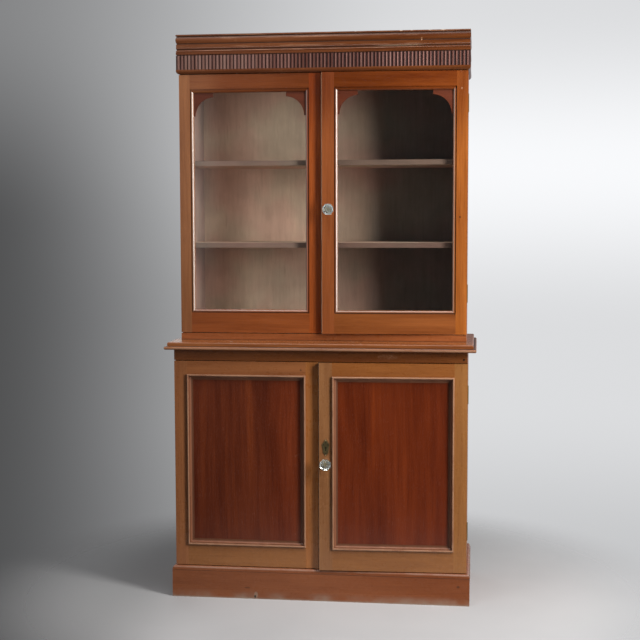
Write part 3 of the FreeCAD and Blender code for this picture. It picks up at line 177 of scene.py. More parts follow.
def polished(wood, tone, grain, figure=0.5, gloss=0.28):
    """French-polished mahogany: bands, ribbons and streaks along the grain, and open pores."""
    sway = wood.noise(1.6).out("Color").vector("SCALE", 0.05)
    bent = wood.vector("ADD", sway)
    bands = drawn_out(bent, grain, stretch=0.12, scale=9.0)
    ribbons = drawn_out(bent, grain, stretch=0.05, scale=48.0, detail=3.0)
    streaks = drawn_out(bent, grain, stretch=0.022, scale=240.0, detail=3.0, rough=0.6)
    fibres = drawn_out(bent, grain, stretch=0.012, scale=1300.0)
    pores = drawn_out(bent, grain, stretch=0.02, scale=1700.0).rise(0.60, 0.72)
    depth = (bands - 0.5) * 1.5 + (ribbons - 0.5) * 1.4
    depth = depth + (streaks - 0.5) * 1.0 + (fibres - 0.5) * 0.5
    deep, pale = shaded(tone, 0.55, 0.43, 0.36), shaded(tone, 1.5, 1.62, 1.75)
    colour = (depth * figure + 0.5).blend(deep, pale)
    colour = (pores * 0.4).blend(colour, shaded(tone, 0.3, 0.2, 0.2))
    haze = wood.noise(26.0, 3.0)
    roughness = (haze - 0.5) * 0.14 + gloss + pores * 0.15 + (streaks - 0.5) * 0.06
    waves = wood.noise(5.0, 1.0)
    relief = fibres * 0.00002 - pores * 0.00006 + waves * 0.0003
    return colour, roughness, relief


# Pale for rubbed wear, and also a painted highlight on crests and free edges. Dark for dirt and
# joints, and also painted shade in quirks, hollows and under projecting parts.
rubbed_and_highlight = (0.46, 0.27, 0.165)
grime_and_shade = (0.012, 0.006, 0.004)
dust = (0.30, 0.24, 0.19)
plinth_tone = (0.221, 0.069, 0.024)
knocked_tone = (0.36, 0.25, 0.20)
hole_tone = (0.01, 0.008, 0.006)
plinth_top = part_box("plinth_front")[1].z
base_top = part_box("base_board")[1].z
dusty_height = 0.035
plinth_boards = {"x": ("plinth_front", "plinth_back", "base_board"), "y": ("plinth_returns",)}
for seed, (grain, names) in enumerate(plinth_boards.items(), 1):
    finish = Finish(f"plinth mahogany {seed}", seed)
    finish.lay(polished(finish.wood, plinth_tone, grain, figure=0.4))
    # Darker and browner towards the right end.
    browner_right_end = finish.across.rise(-0.1, 0.4)
    finish.tint(browner_right_end, (0.87, 0.74, 0.52))
    dusty = finish.up.rise(dusty_height, 0.002) * finish.patches(9.0, 0.35, 0.7)
    finish.paint_colour(dusty * 0.6, dust, rougher=0.3)
    foot = finish.up.rise(0.008, 0.0)
    finish.paint_colour(foot * 0.5, dust, rougher=0.3)
    knocked_edge = finish.up.near(base_top - 0.004, 0.005) * finish.patches(14.0, 0.2, 0.6)
    finish.paint_colour(knocked_edge * 0.45, knocked_tone)
    joint = finish.up.near(plinth_top, 0.0016)
    finish.paint_colour(joint * 0.8, grime_and_shade, rougher=0.2)
    if grain == "x":
        bruise = finish.mark(x=-0.226, z=0.015, half_width=0.007, half_height=0.011)
        finish.paint_colour(bruise * 0.5, dust, rougher=0.3)
        hole = finish.mark(x=-0.229, z=0.009, half_width=0.0035, half_height=0.005)
        finish.paint_colour(hole, hole_tone)
        scrape = finish.mark(x=-0.257, z=0.040, half_width=0.011, half_height=0.003)
        finish.paint_colour(scrape * 0.5, grime_and_shade)
        nail = finish.mark(x=0.4906, z=0.068, half_width=0.005, half_height=0.004)
        finish.paint_colour(nail * 0.7, grime_and_shade)
    finish.close(*names, specular=0.3)


# Cupboard section. Two wide boards stand on the base board and carry a shelf and the head rails.
# They are polished outside and bare inside, and thin boards, tongued and grooved, close the back.
def bare(wood, tone, grain):
    """Unpolished boards that have gone grey and dusty, with dark runs along the grain."""
    clouds = wood.noise(5.5, 4.0, 0.6)
    bands = drawn_out(wood, grain, stretch=0.2, scale=14.0, detail=3.0, rough=0.6)
    runs = drawn_out(wood, grain, stretch=0.07, scale=75.0, detail=3.0, rough=0.65)
    fibres = drawn_out(wood, grain, stretch=0.03, scale=700.0, rough=0.6)
    ruddy, dusty = shaded(tone, 1.10, 0.95, 0.96), shaded(tone, 1.0, 1.02, 1.0)
    value = (clouds - 0.5) * 0.8 + (bands - 0.5) * 0.35 + (runs - 0.5) * 0.4 + 1.0
    value = value + (fibres - 0.5) * 0.3
    colour = wood.noise(4.0, 3.0).rise(0.38, 0.62).blend(ruddy, dusty).vector("SCALE", value)
    colour = (runs.rise(0.60, 0.74) * 0.35).blend(colour, shaded(tone, 0.45, 0.4, 0.4))
    return colour, (bands - 0.5) * 0.2 + 0.75, fibres * 0.0001 + runs * 0.0001


case_tone = (0.26, 0.078, 0.021)
inner_tone = (0.57, 0.415, 0.32)
inner_side_tone = shaded(inner_tone, 0.68, 0.62, 0.68)


def side_boards(section, seed):
    """Polish a section's two sides, and leave their inner faces bare."""
    low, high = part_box(f"{section}_side_right")
    finish = Finish(f"{section} side boards", seed)
    finish.lay(polished(finish.wood, case_tone, "z"))
    inner_face = finish.across.math("ABSOLUTE").rise(low.x + 0.0015, low.x + 0.0005)
    finish.lay(bare(finish.wood, inner_side_tone, "z"), inner_face)
    foot = finish.up.rise(low.z + 0.03, low.z) * finish.patches(12.0)
    finish.paint_colour(foot * 0.3, dust, rougher=0.2)
    finish.close(f"{section}_side_left", f"{section}_side_right")


side_boards("lower", 3)

finish = Finish("cupboard back boards", 5)
finish.lay(bare(finish.wood, inner_tone, "z"))
finish.close("lower_back_boards")

finish = Finish("cupboard shelf", 6)
finish.lay(bare(finish.wood, inner_tone, "x"))
finish.close("lower_shelf")

rail_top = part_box("frieze_rail")[1].z
finish = Finish("frieze rail mahogany", 7)
finish.lay(polished(finish.wood, (0.155, 0.047, 0.0105), "x"))
scuffs = finish.mark(x=0.243, z=0.872, half_width=0.036, half_height=0.008)
finish.paint_colour(scuffs * finish.patches(260.0, 0.5, 0.6) * 0.3, rubbed_and_highlight, rougher=0.1)
nail = finish.mark(x=0.505, z=0.8655, half_width=0.0035, half_height=0.0035)
finish.paint_colour(nail, grime_and_shade)
# Painted shade under the top: the rail is darkened along its upper edge.
shade_under_the_top = finish.up.rise(rail_top - 0.004, rail_top)
finish.paint_colour(shade_under_the_top * 0.8, grime_and_shade)
finish.close("frieze_rail", "lower_head_rail")


# Cupboard top. One thick board lies over the cupboard, with a nosing planted under its edge and
# returned at the ends. Its streaks run from end to end, and its edges are rubbed pale.
top_low, top_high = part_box("cupboard_top")
nosing_crest = top_low.z + 0.006
nosing_top = top_low.z + 0.012
finish = Finish("top mahogany", 8)
finish.lay(polished(finish.wood, (0.215, 0.067, 0.018), "x", figure=0.9, gloss=0.22))
upper_face = finish.up.rise(top_high.z - 0.001, top_high.z - 0.0004)
scratches = drawn_out(finish.place, "x", stretch=0.03, scale=210.0).rise(0.60, 0.68)
finish.paint_colour(upper_face * scratches * 0.5, rubbed_and_highlight, rougher=0.1)
worn_crest = finish.up.near(nosing_crest, 0.0045) * finish.patches(20.0, 0.1, 0.5)
finish.paint_colour(worn_crest * 0.55, (0.40, 0.25, 0.165), rougher=0.1)
finish.paint_colour(finish.up.near(nosing_top, 0.0018) * 0.85, grime_and_shade, rougher=0.3)
mid_ledge = finish.back.near(-0.150, 0.009)
pale_chip = finish.mark(x=-0.3176, z=top_high.z, half_width=0.004, half_height=0.0014)
finish.paint_colour(pale_chip * mid_ledge, (0.6, 0.55, 0.5))
brown_chip = finish.mark(x=0.1193, z=top_high.z, half_width=0.004, half_height=0.0014)
finish.paint_colour(brown_chip * mid_ledge * 0.6, (0.5, 0.4, 0.33))
finish.close("cupboard_top")


# Bookcase section. Narrower sides stand on the top and carry the boards, two shelves and the rails,
# and the back boards are nailed into a rebate. Those behind the right pane are painted dark as
# painted shade.
side_boards("upper", 4)

finish = Finish("bookcase back boards", 5)
finish.lay(bare(finish.wood, inner_tone, "z"))
back_low, back_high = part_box("upper_back_boards")
board_middle = (back_low.y + back_high.y) / 2
inner_face = finish.back.rise(board_middle, board_middle - 0.001)
over_the_top = inner_face * finish.up.rise(top_high.z, top_high.z + 0.01)
# Painted shade on the inner face above the cupboard top: a little darker right of the middle, and
# much darker behind the right pane.
finish.tint(over_the_top * finish.across.rise(-0.03, 0.02), (0.84, 0.81, 0.82))
finish.tint(over_the_top * finish.across.rise(0.10, 0.22), (0.55, 0.78, 0.95))
finish.close("upper_back_boards")

finish = Finish("bookcase bottom and top boards", 6)
finish.lay(bare(finish.wood, inner_tone, "x"))
finish.close("upper_bottom_board", "upper_top_board")

finish = Finish("book shelves", 6)
finish.lay(bare(finish.wood, inner_tone, "x"))
front_edge = finish.back.near(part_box("upper_shelves")[0].y, 0.0012)
finish.tint(front_edge, (0.43, 0.38, 0.39))
# Right of the middle the front edges are painted darker still, as painted shade.
finish.tint(front_edge * finish.across.rise(-0.02, 0.02), (0.66, 0.57, 0.54))
finish.close("upper_shelves")

finish = Finish("base rail mahogany", 9)
finish.lay(polished(finish.wood, (0.24, 0.069, 0.0185), "x"))
joint = finish.up.rise(top_high.z + 0.004, top_high.z)
finish.paint_colour(joint * 0.7, grime_and_shade)
finish.close("upper_base_rail", "upper_head_rail")


# Frieze and cornice. Reeds are worked on a strip that is planted round the top, over a bead, and the
# cornice moulding over them is mitred at the front corners. Dirt and painted shade darken their
# quirks.
cornice_low, cornice_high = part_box("cornice_front")
cornice_foot = cornice_low.z
crown = cornice_high.z
cornice_tone = (0.110, 0.034, 0.0118)
shoulder_shade = (0.03, 0.010, 0.004)
# Heights over the cornice's foot with their reach: crests rubbed pale and painted as highlights,
# quirks darkened with dirt and painted shade, and shoulders darkened as painted shade.
rubbed_and_highlit_crests = ((0.060, 0.006), (0.030, 0.004), (0.0165, 0.003), (0.071, 0.003))
dirty_and_shaded_quirks = ((0.041, 0.003), (0.0668, 0.0025), (0.0205, 0.002), (0.0015, 0.003), (0.074, 0.0012))
shaded_shoulders = ((0.0635, 0.005), (0.0235, 0.004))
# Places across the crown's edge that are chipped, each with half its width.
crown_chips = ((0.121, 0.003), (0.280, 0.006), (0.316, 0.004), (0.380, 0.005), (0.425, 0.009))
cornice_runs = {"x": ("cornice_front", "frieze_bead", "frieze_board"), "y": ("cornice_returns",)}
for seed, (grain, names) in enumerate(cornice_runs.items(), 10):
    finish = Finish(f"cornice mahogany {seed}", seed)
    finish.lay(polished(finish.wood, cornice_tone, grain, figure=0.9, gloss=0.25))
    # Darker and browner towards the right end.
    browner_right_end = finish.across.rise(-0.3, 0.4)
    finish.tint(browner_right_end, (0.86, 0.79, 0.58))
    broken = drawn_out(finish.place, grain, stretch=0.08, scale=70.0, detail=3.0, rough=0.6)
    # Crests are rubbed pale in broken lines, which also stand as painted highlights.
    for height, reach in rubbed_and_highlit_crests:
        crest = finish.up.near(cornice_foot + height, reach)
        finish.paint_colour(crest * broken.rise(0.48, 0.62) * 0.25, rubbed_and_highlight)
    # Quirks are darkened with dirt and painted shade.
    for height, reach in dirty_and_shaded_quirks:
        finish.paint_colour(finish.up.near(cornice_foot + height, reach) * 0.85, grime_and_shade, rougher=0.3)
    # Shoulders are darkened as painted shade.
    for height, reach in shaded_shoulders:
        finish.paint_colour(finish.up.near(cornice_foot + height, reach) * 0.6, shoulder_shade, rougher=0.35)
    if grain == "x":
        for x, half_width in crown_chips:
            chip = finish.mark(x, crown - 0.0008, half_width, half_height=0.0018)
            chip = chip * finish.patches(400.0, 0.35, 0.5)
            finish.paint_colour(chip * 0.6, (0.55, 0.45, 0.36), rougher=0.2)
        dent = finish.mark(x=0.351, z=1.9725, half_width=0.0025, half_height=0.006)
        finish.paint_colour(dent * 0.6, (0.42, 0.22, 0.12))
        long_scratch = finish.mark(x=0.275, z=1.9530, half_width=0.082, half_height=0.0010)
        finish.paint_colour(long_scratch * 0.6, (0.46, 0.33, 0.22))
    finish.close(*names, specular=0.28)

# The reeds' pale pinkish-grey tone is a painted highlight, and the dark flanks laid over it below are
# painted shade.
reed_tone_and_highlight = (0.205, 0.120, 0.096)
reed_flank_shade = (0.026, 0.004, 0.0015)
reed_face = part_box("reeded_frieze")[0].y
reed_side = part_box("reeded_frieze")[1].x
front_reeds = 81
strip_edge = 0.5169
reed_pitch = strip_edge * 2 / front_reeds
for seed, name in enumerate(("reeded_frieze", "reeded_returns"), 12):
    finish = Finish(name.replace("_", " "), seed)
    finish.lay(polished(finish.wood, reed_tone_and_highlight, "z", figure=0.7, gloss=0.25))
    if name == "reeded_returns":
        finish.tint(finish.back.rise(reed_face, reed_face + 0.02), (0.6, 0.5, 0.45))
    else:
        # Across the front the painted light changes: darker at the left and much lighter at the
        # right, with the pale crests narrowing towards the right and the painted shade on the flanks
        # growing stronger.
        finish.tint(finish.across.rise(-0.4, -0.05), (0.80, 0.66, 0.64))
        finish.tint(finish.across.rise(0.0, 0.35), (1.7, 1.85, 1.9))
        count = (finish.across + strip_edge) * (1.0 / reed_pitch)
        from_crest = (count.math("FRACT") - 0.5).math("ABSOLUTE")
        crest = 0.21 - finish.across.rise(-0.4, 0.2) * 0.165
        flank = from_crest.rise(crest, crest + 0.15)
        strength = finish.across.rise(-0.35, 0.1) * 0.2 + 0.78
        finish.paint_colour(flank * strength, reed_flank_shade, rougher=0.3)
        single_reeds = finish.place.vector("MULTIPLY", (1.0, 0.0, 0.0)).noise(45.0, 1.0)
        finish.tint(single_reeds.rise(0.35, 0.65), (0.7, 0.6, 0.6))
    # The hollows between the reeds are darkened with dirt and painted shade.
    behind_face = finish.back.rise(reed_face + 0.0015, reed_face + 0.0032)
    inside_end = finish.across.math("ABSOLUTE").rise(reed_side - 0.0015, reed_side - 0.0032)
    finish.paint_colour(behind_face * inside_end * 0.9, grime_and_shade, rougher=0.5)
    finish.close(name, specular=0.2)


# Cupboard doors. Stiles and rails are tenoned together round a thin panel that stands in grooves, and
# a proud moulding is mitred round it. The frames have faded yellower than the panels.
hinges = {joint["child"]: joint for joint in frame["joints"] if "range_deg" in joint}
door_thickness = 0.022
axis_behind_door = 0.0005
half_meeting_gap = 0.0015


def door_places(finish, door):
    """How far a place is in from a door's hinge axis, and out from the door's front."""
    axis = hinges[door]["pos_m"]
    ajar = math.radians(-hinges[door]["range_deg"][0])
    x, y = finish.across - axis[0], finish.back - axis[1]
    inward = (x * math.cos(ajar) + y * math.sin(ajar)) * (-1.0 if axis[0] > 0 else 1.0)
    outward = x * math.sin(ajar) - y * math.cos(ajar) - (door_thickness + axis_behind_door)
    return inward, outward


stile_tones = {"left": (0.250, 0.091, 0.0310), "right": (0.280, 0.115, 0.0315)}
meeting_factors = {"left": (1.42, 1.44, 1.12), "right": (0.86, 0.885, 1.16)}
rail_tones = {"left": (0.245, 0.0925, 0.0260), "right": (0.224, 0.084, 0.0228)}
head_factors = {"left": (1.06, 0.98, 1.12), "right": (1.0, 0.88, 0.73)}
panel_tones = {"left": (0.106, 0.0200, 0.0060), "right": (0.116, 0.0180, 0.0036)}
moulding_tone = (0.21, 0.082, 0.040)
for seed, hand in enumerate(("left", "right"), 13):
    door = f"lower_{hand}_door"

    finish = Finish(f"cupboard {hand} stiles", seed)
    finish.lay(polished(finish.wood, stile_tones[hand], "z", figure=0.4))
    inward, _ = door_places(finish, door)
    finish.tint(inward.rise(0.2, 0.3), meeting_factors[hand])
    free_edge = abs(hinges[door]["pos_m"][0]) - half_meeting_gap
    # The free edge is rubbed pale, and the pale line is also a painted highlight on the arris.
    finish.paint_colour(inward.near(free_edge, 0.0016) * 0.6, rubbed_and_highlight)
    if hand == "right":
        # The stile behind the pierced plate is painted dark, as painted shade seen through its
        # piercings.
        shade_behind_plate = finish.mark(x=0.0262, z=0.5525, half_width=0.0115, half_height=0.027)
        finish.paint_colour(shade_behind_plate, grime_and_shade, rougher=0.3)
    finish.close(f"lower_{hand}_stiles")

    finish = Finish(f"cupboard {hand} rails", seed + 10)
    finish.lay(polished(finish.wood, rail_tones[hand], "x", figure=0.4))
    finish.tint(finish.up.rise(0.5, 0.6), head_factors[hand])
    knot = finish.mark(x=-0.064, z=0.8225, half_width=0.0035, half_height=0.0035)
    finish.paint_colour(knot * 0.6, grime_and_shade)
    finish.close(f"lower_{hand}_rails")

    finish = Finish(f"cupboard {hand} panel", seed + 20)
    finish.lay(polished(finish.wood, panel_tones[hand], "z", figure=0.7, gloss=0.24))
    inward, _ = door_places(finish, door)
    if hand == "left":
        finish.tint(inward.rise(0.30, 0.40), (1.25, 1.15, 1.0))
    else:
        finish.tint(inward.rise(0.24, 0.08), (0.76, 0.72, 0.8))
    flames = drawn_out(finish.wood, "z", stretch=0.04, scale=22.0).rise(0.55, 0.75)
    finish.tint(flames, (1.35, 1.4, 1.2))
    finish.close(f"lower_{hand}_panel")

    finish = Finish(f"cupboard {hand} moulding", seed + 30)
    finish.lay(polished(finish.wood, moulding_tone, "z", gloss=0.3))
    _, outward = door_places(finish, door)
    worn_bead = outward.rise(0.0055, 0.0075) * finish.patches(16.0, 0.1, 0.6)
    finish.paint_colour(worn_bead * 0.5, rubbed_and_highlight)
    joint = outward.near(0.0, 0.0012)
    finish.paint_colour(joint * 0.8, grime_and_shade, rougher=0.3)
    # Beside the panel the moulding's hollow is painted dark, as painted shade.
    cove_shade = outward.rise(-0.005, -0.0085)
    finish.paint_colour(cove_shade * 0.6, (0.05, 0.016, 0.006), rougher=0.3)
    finish.close(f"lower_{hand}_panel_moulding", specular=0.3)


# Glazed doors. Their frames have an ovolo worked on the inner edge, painted pale as a highlight, and
# the panes lie in a rebate behind it under glazing beads. Brackets with a hollow edge stand before
# the panes in the upper corners.
# The left door's stiles get a bluer tone as a painted sheen, which the meeting factors take out of
# its meeting stile.
glazed_stile_tones = {"left": (0.222, 0.083, 0.0300), "right": (0.315, 0.095, 0.0165)}
glazed_meeting_factors = {"left": (1.18, 0.69, 0.34), "right": (0.66, 0.60, 0.93)}
glazed_rail_tones = {"left": (0.225, 0.059, 0.0140), "right": (0.195, 0.057, 0.0137)}
glazed_head_factors = {"left": (0.62, 0.61, 0.62), "right": (0.62, 0.50, 0.38)}
bracket_tone = (0.082, 0.018, 0.0065)
ovolo_highlight = (0.46, 0.385, 0.34)
hinge_flat = 0.0398
meeting_flat = 0.0435
foot_flat = 0.071
quirk_line = 0.0023
ovolo_line = 0.009
foot_ovolo_line = 0.0087
ovolo_reach = 0.0042
quirk_reach = 0.0026
for seed, hand in enumerate(("left", "right"), 51):
    door = f"upper_{hand}_door"

    finish = Finish(f"glazed {hand} stiles", seed)
    finish.lay(polished(finish.wood, glazed_stile_tones[hand], "z", figure=0.65, gloss=0.2))
    inward, _ = door_places(finish, door)
    meeting = inward.rise(0.2, 0.3)
    finish.tint(meeting, glazed_meeting_factors[hand])
    # Painted shade darkens the stiles towards the top; on the left door only the meeting stile.
    shaded_top = finish.up.rise(1.58, 1.83)
    finish.tint(shaded_top * meeting if hand == "left" else shaded_top, (0.60, 0.50, 0.50))
    free_edge = abs(hinges[door]["pos_m"][0]) - half_meeting_gap
    meeting_edge = free_edge - meeting_flat
    hinge_ovolo = inward.near(hinge_flat + ovolo_line, ovolo_reach)
    meeting_ovolo = inward.near(meeting_edge - ovolo_line, ovolo_reach)
    # The ovolo is painted pale as a painted highlight: fully where it faces right, towards the key
    # light, and at half strength where it faces left.
    bright, dull = (hinge_ovolo, meeting_ovolo) if hand == "left" else (meeting_ovolo, hinge_ovolo)
    finish.paint_colour(bright, ovolo_highlight)
    finish.paint_colour(dull * 0.5, ovolo_highlight)
    # The quirks beside the ovolo are darkened with dirt and painted shade.
    hinge_quirk = inward.near(hinge_flat + quirk_line, quirk_reach)
    meeting_quirk = inward.near(meeting_edge - quirk_line, quirk_reach)
    finish.paint_colour((hinge_quirk + meeting_quirk) * 0.85, grime_and_shade, rougher=0.3)
    # The free edge is rubbed pale, and the pale line is also a painted highlight on the arris.
    finish.paint_colour(inward.near(free_edge, 0.0018) * 0.7, rubbed_and_highlight)
    if hand == "right":
        nail = finish.mark(x=0.4869, z=1.3574, half_width=0.0028, half_height=0.0028)
        finish.paint_colour(nail, grime_and_shade)
        chip = finish.mark(x=0.4907, z=1.8029, half_width=0.0025, half_height=0.004)
        finish.paint_colour(chip * 0.4, rubbed_and_highlight)
    finish.close(f"upper_{hand}_stiles")

    finish = Finish(f"glazed {hand} rails", seed + 10)
    finish.lay(polished(finish.wood, glazed_rail_tones[hand], "x", figure=0.6, gloss=0.2))
    head = finish.up.rise(1.4, 1.5)
    finish.tint(head, glazed_head_factors[hand])
    # A painted sheen lightens and blues the head rail's left end.
    sheen_at_left_end = finish.across.rise(-0.33, -0.45) * head
    finish.tint(sheen_at_left_end, (1.35, 1.75, 2.5))
    near_middle = finish.across.rise(-0.22, -0.06) * head
    finish.tint(near_middle if hand == "left" else head, (0.86, 0.78, 0.62))
    right_end = finish.across.rise(0.1, 0.42) * head
    finish.tint(right_end, (1.45, 1.5, 1.55))
    foot_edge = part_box(f"upper_{hand}_rails")[0].z + foot_flat
    # The foot rail's ovolo faces up and is painted pale as a weaker painted highlight.
    foot_ovolo = finish.up.near(foot_edge + foot_ovolo_line, ovolo_reach)
    finish.paint_colour(foot_ovolo * 0.36, ovolo_highlight)
    # The foot rail's quirk is darkened with dirt and painted shade.
    foot_quirk = finish.up.near(foot_edge + quirk_line, quirk_reach)
    finish.paint_colour(foot_quirk * 0.85, grime_and_shade, rougher=0.3)
    finish.close(f"upper_{hand}_rails", f"upper_{hand}_glazing_beads")

    finish = Finish(f"corner {hand} brackets", seed + 20)
    finish.lay(polished(finish.wood, bracket_tone, "x", figure=0.6, gloss=0.3))
    finish.close(f"upper_{hand}_spandrels")

pane = Finish("window glass")
clear = pane.place.node("ShaderNodeBsdfTransparent", inputs={"Color": (0.93, 0.95, 0.94, 1.0)})
ripple = pane.place.noise(7.0, 1.0) * 0.0003
bump = pane.place.node("ShaderNodeBump", inputs={"Height": ripple, "Distance": 1.0})
mirror = pane.place.node("ShaderNodeBsdfGlossy", inputs={"Roughness": 0.02, "Normal": bump})
facing = pane.place.node("ShaderNodeLayerWeight", inputs={"Blend": 0.5}, output="Facing")
glance = facing.math("POWER", 5.0) * 0.96 + 0.04
both = pane.place.node("ShaderNodeMixShader", inputs={0: glance, 1: clear, 2: mirror})
pane.dress(both, "upper_left_glass", "upper_right_glass")


# Hinges, knobs and lock. Brass butts are screwed into seats in the edges, the knobs are cut glass on
# brass mounts, and a pierced brass plate is pinned over the keyhole of the cupboard.
def metal(name, tone, tarnish, roughness):
    """Old metal with dark spots of tarnish."""
    finish = Finish(name)
    clouds = finish.place.noise(45.0, 3.0)
    spots = finish.place.noise(160.0, 4.0, 0.6).rise(0.42, 0.68)
    colour = (spots * 0.75).blend(tone, tarnish)
    uneven = roughness + spots * 0.2 + (clouds - 0.5) * 0.2
    finish.lay((colour, uneven, clouds * 0.00008 + spots * 0.00003))
    return finish


old_brass = (0.34, 0.22, 0.10)
brass_tarnish = (0.12, 0.07, 0.035)
axis_to_screws = 0.0085
first_screws = {"upper": (1.0665, 1.7315), "lower": (0.2365, 0.719)}
screw_spacing = 0.022
screw_radius = 0.0038
finish = metal("hinge brass", old_brass, brass_tarnish, 0.35)
# The screw heads are painted on the leaves: rims and slots darkened with dirt and painted shade, and
# sunk a little in the relief.
for section, heights in first_screws.items():
    axis_x = hinges[f"{section}_left_door"]["pos_m"][0]
    beside = finish.across.math("ABSOLUTE") + (axis_to_screws + axis_x)
    for first_screw in heights:
        for level in range(3):
            above = finish.up - (first_screw + level * screw_spacing)
            out = (beside * beside + above * above).math("SQRT")
            rim = out.near(screw_radius, 0.0009)
            slot = (beside + above * 0.5).math("ABSOLUTE").rise(0.0008, 0.0004)
            sunk = rim + out.rise(screw_radius - 0.0002, screw_radius - 0.0006) * slot
            finish.paint_colour(sunk * 0.85, grime_and_shade, rougher=0.2)
            finish.relief = finish.relief - sunk * 0.0003
finish.close("hinge_frame_leaves", "upper_left_hinge_leaves", "upper_right_hinge_leaves",
             "lower_left_hinge_leaves", "lower_right_hinge_leaves", metallic=1.0)

finish = metal("lock brass", old_brass, brass_tarnish, 0.35)
finish.close("strike_plate", "lock_bolt", metallic=1.0)
finish = metal("knob brass", (0.50, 0.36, 0.17), (0.20, 0.12, 0.06), 0.28)
finish.close("upper_knob_shank", "lower_knob_shank", metallic=1.0)
finish = metal("dull iron", (0.16, 0.14, 0.12), (0.06, 0.035, 0.022), 0.5)
finish.close("lock_case", "bolt_plates", "top_bolt", "bottom_bolt", metallic=1.0)

plate_low, plate_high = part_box("escutcheon")
plate_middle = (plate_low.x + plate_high.x) / 2
pin_inset = 0.003
pin_radius = 0.0014
finish = metal("plate brass", (0.42, 0.32, 0.15), (0.15, 0.11, 0.05), 0.30)
for height in (plate_low.z + pin_inset, plate_high.z - pin_inset):
    pin = finish.mark(plate_middle, height, pin_radius, pin_radius)
    finish.paint_colour(pin, (0.55, 0.42, 0.22))
    finish.relief = finish.relief + pin * 0.0004
finish.close("escutcheon", metallic=1.0)

crystal = Finish("cut glass")
glass = crystal.place.node("ShaderNodeBsdfPrincipled", inputs={
    "Base Color": (0.88, 0.93, 0.91, 1.0), "Roughness": 0.04, "IOR": 1.52,
    "Transmission Weight": 1.0})
grey_facets = crystal.place.node("ShaderNodeBsdfPrincipled", inputs={
    "Base Color": (0.30, 0.34, 0.33, 1.0), "Roughness": 0.06, "IOR": 1.8})
both = crystal.place.node("ShaderNodeMixShader", inputs={0: 0.18, 1: glass, 2: grey_facets})
crystal.dress(both, "upper_knob_glass", "lower_knob_glass")


# Studio. A pale floor that fades out round the part, a tall soft light to the right of the front, one
# overhead, weak fill and back lights, a plain background and the camera.
scene = bpy.context.scene
scene.view_settings.view_transform = "Standard"

floor_half = 3.0
floor_mesh = bpy.data.meshes.new("floor")
floor_mesh.from_pydata(
    [(-floor_half, -floor_half, 0), (floor_half, -floor_half, 0),
     (floor_half, floor_half, 0), (-floor_half, floor_half, 0)], [], [(0, 1, 2, 3)])
floor = bpy.data.objects.new("floor", floor_mesh)
scene.collection.objects.link(floor)
ground = Finish("studio floor")
grey = ground.place.noise(1.5, 3.0).rise(0.2, 0.8).blend((0.46, 0.46, 0.47), (0.52, 0.52, 0.53))
# The floor is painted darker towards the left, as painted shade.
grey = ground.across.rise(-0.3, -0.75).blend(grey, (0.32, 0.32, 0.325))
matt = ground.place.node("ShaderNodeBsdfPrincipled", inputs={"Base Color": grey, "Roughness": 0.8})
away = ground.place.node("ShaderNodeVectorMath", {"operation": "LENGTH"}, {0: ground.place}, "Value")
clear = ground.place.node("ShaderNodeBsdfTransparent")
both = ground.place.node("ShaderNodeMixShader", inputs={0: away.rise(0.75, 1.4), 1: matt, 2: clear})
ground.dress(both)
floor_mesh.materials.append(ground.material)


def soft_light(name, place, target, width, height, power, colour, mirrored=True):
    """A lit rectangle in metres and watts, turned to its target."""
    lamp = bpy.data.lights.new(name, "AREA")
    lamp.shape = "RECTANGLE"
    lamp.size = width
    lamp.size_y = height
    lamp.energy = power
    lamp.color = colour
    made = bpy.data.objects.new(name, lamp)
    made.location = place
    made.rotation_euler = (Vector(target) - Vector(place)).to_track_quat("-Z", "Y").to_euler()
    made.visible_camera = False
    made.visible_glossy = mirrored
    scene.collection.objects.link(made)


soft_light("key", place=(2.20, -1.60, 1.9), target=(0.0, -0.1, 1.1),
           width=0.7, height=2.0, power=120.0, colour=(1.0, 0.98, 0.95))
soft_light("overhead", place=(0.2, -1.0, 3.4), target=(0.0, -0.1, 1.0),
           width=2.4, height=1.0, power=42.0, colour=(1.0, 0.99, 0.98))
soft_light("fill", place=(-2.2, -4.2, 2.0), target=(0.0, 0.0, 1.0),
           width=2.4, height=2.4, power=2.5, colour=(0.9, 0.95, 1.0), mirrored=False)
soft_light("back light", place=(-2.0, 3.6, 2.6), target=(0.0, 0.2, 1.0),
           width=2.5, height=2.0, power=28.0, colour=(1.0, 0.99, 0.97))

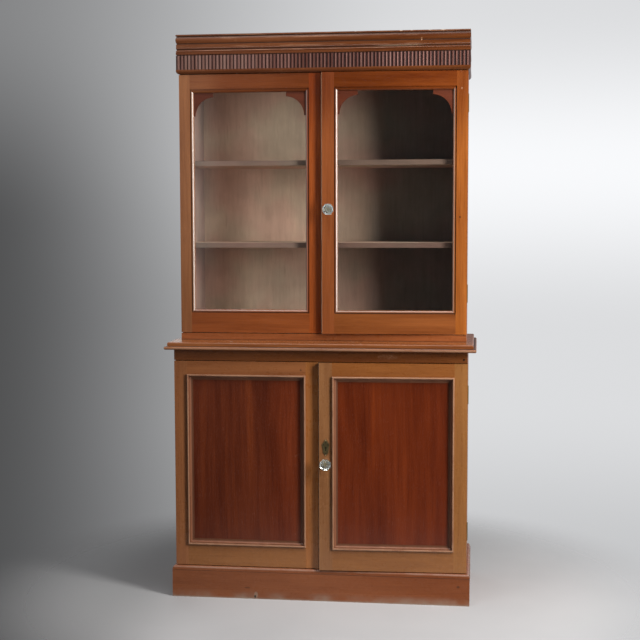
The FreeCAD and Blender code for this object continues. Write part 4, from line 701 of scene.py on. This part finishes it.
world = bpy.data.worlds.new("studio")
scene.world = world
world.use_nodes = True
world.node_tree.nodes.clear()
sky = Shade(world.node_tree)
way = sky.node("ShaderNodeTexCoord", output="Generated")
parts = sky.node("ShaderNodeSeparateXYZ", inputs={0: way})
across, back, up = (parts.out(axis) for axis in "XYZ")
black = (0.0, 0.0, 0.0)

# The background that the camera sees runs from dark at the left to pale at the right.
dark_side = up.rise(-0.01, 0.16) * 0.15 + 0.08
pale_side = up.near(0.04, 0.13) * 0.23 + 0.72 - up.rise(-0.14, -0.27) * 0.15
rightward = across.rise(-0.39, -0.01)
shown = (dark_side + (pale_side - dark_side) * rightward).blend(black, (0.99, 1.0, 1.02))

# Gloss mirrors a pale wall at the left, a ceiling and a dim wall behind, and the rest gets a dim,
# even light from all round.
left_wall = across.rise(-0.19, -0.24) * up.rise(-0.10, 0.02) * back.rise(0.3, 0.0) * 0.7
ceiling = up.rise(0.3, 0.8) * 0.5
wall_behind = back.rise(-0.3, 0.6) * (across.rise(-0.1, 0.3) * 0.4 + 0.1)
mirrored = (left_wall + ceiling + wall_behind + 0.04).blend(black, (0.94, 0.98, 1.05))
path = sky.node("ShaderNodeLightPath", output="Is Camera Ray")
seen = path.math("MAXIMUM", path.out("Is Transmission Ray"))
ambient = path.out("Is Glossy Ray").blend((0.042, 0.043, 0.046), mirrored)
background = sky.node("ShaderNodeBackground", inputs={"Color": seen.blend(ambient, shown)})
sky.node("ShaderNodeOutputWorld", inputs={"Surface": background})

camera_place = (0.5502, -4.51809, 1.3536)
camera_turn = 0.1252
camera_dip = 0.0808
camera_roll = -0.0021
lens = bpy.data.cameras.new("camera")
lens.sensor_width = 36.0
lens.lens = 70.59
camera = bpy.data.objects.new("camera", lens)
camera.matrix_world = (
    Matrix.Translation(camera_place)
    @ Matrix.Rotation(camera_turn, 4, "Z")
    @ Matrix.Rotation(math.pi / 2 - camera_dip, 4, "X")
    @ Matrix.Rotation(camera_roll, 4, "Z")
)
scene.collection.objects.link(camera)
scene.camera = camera
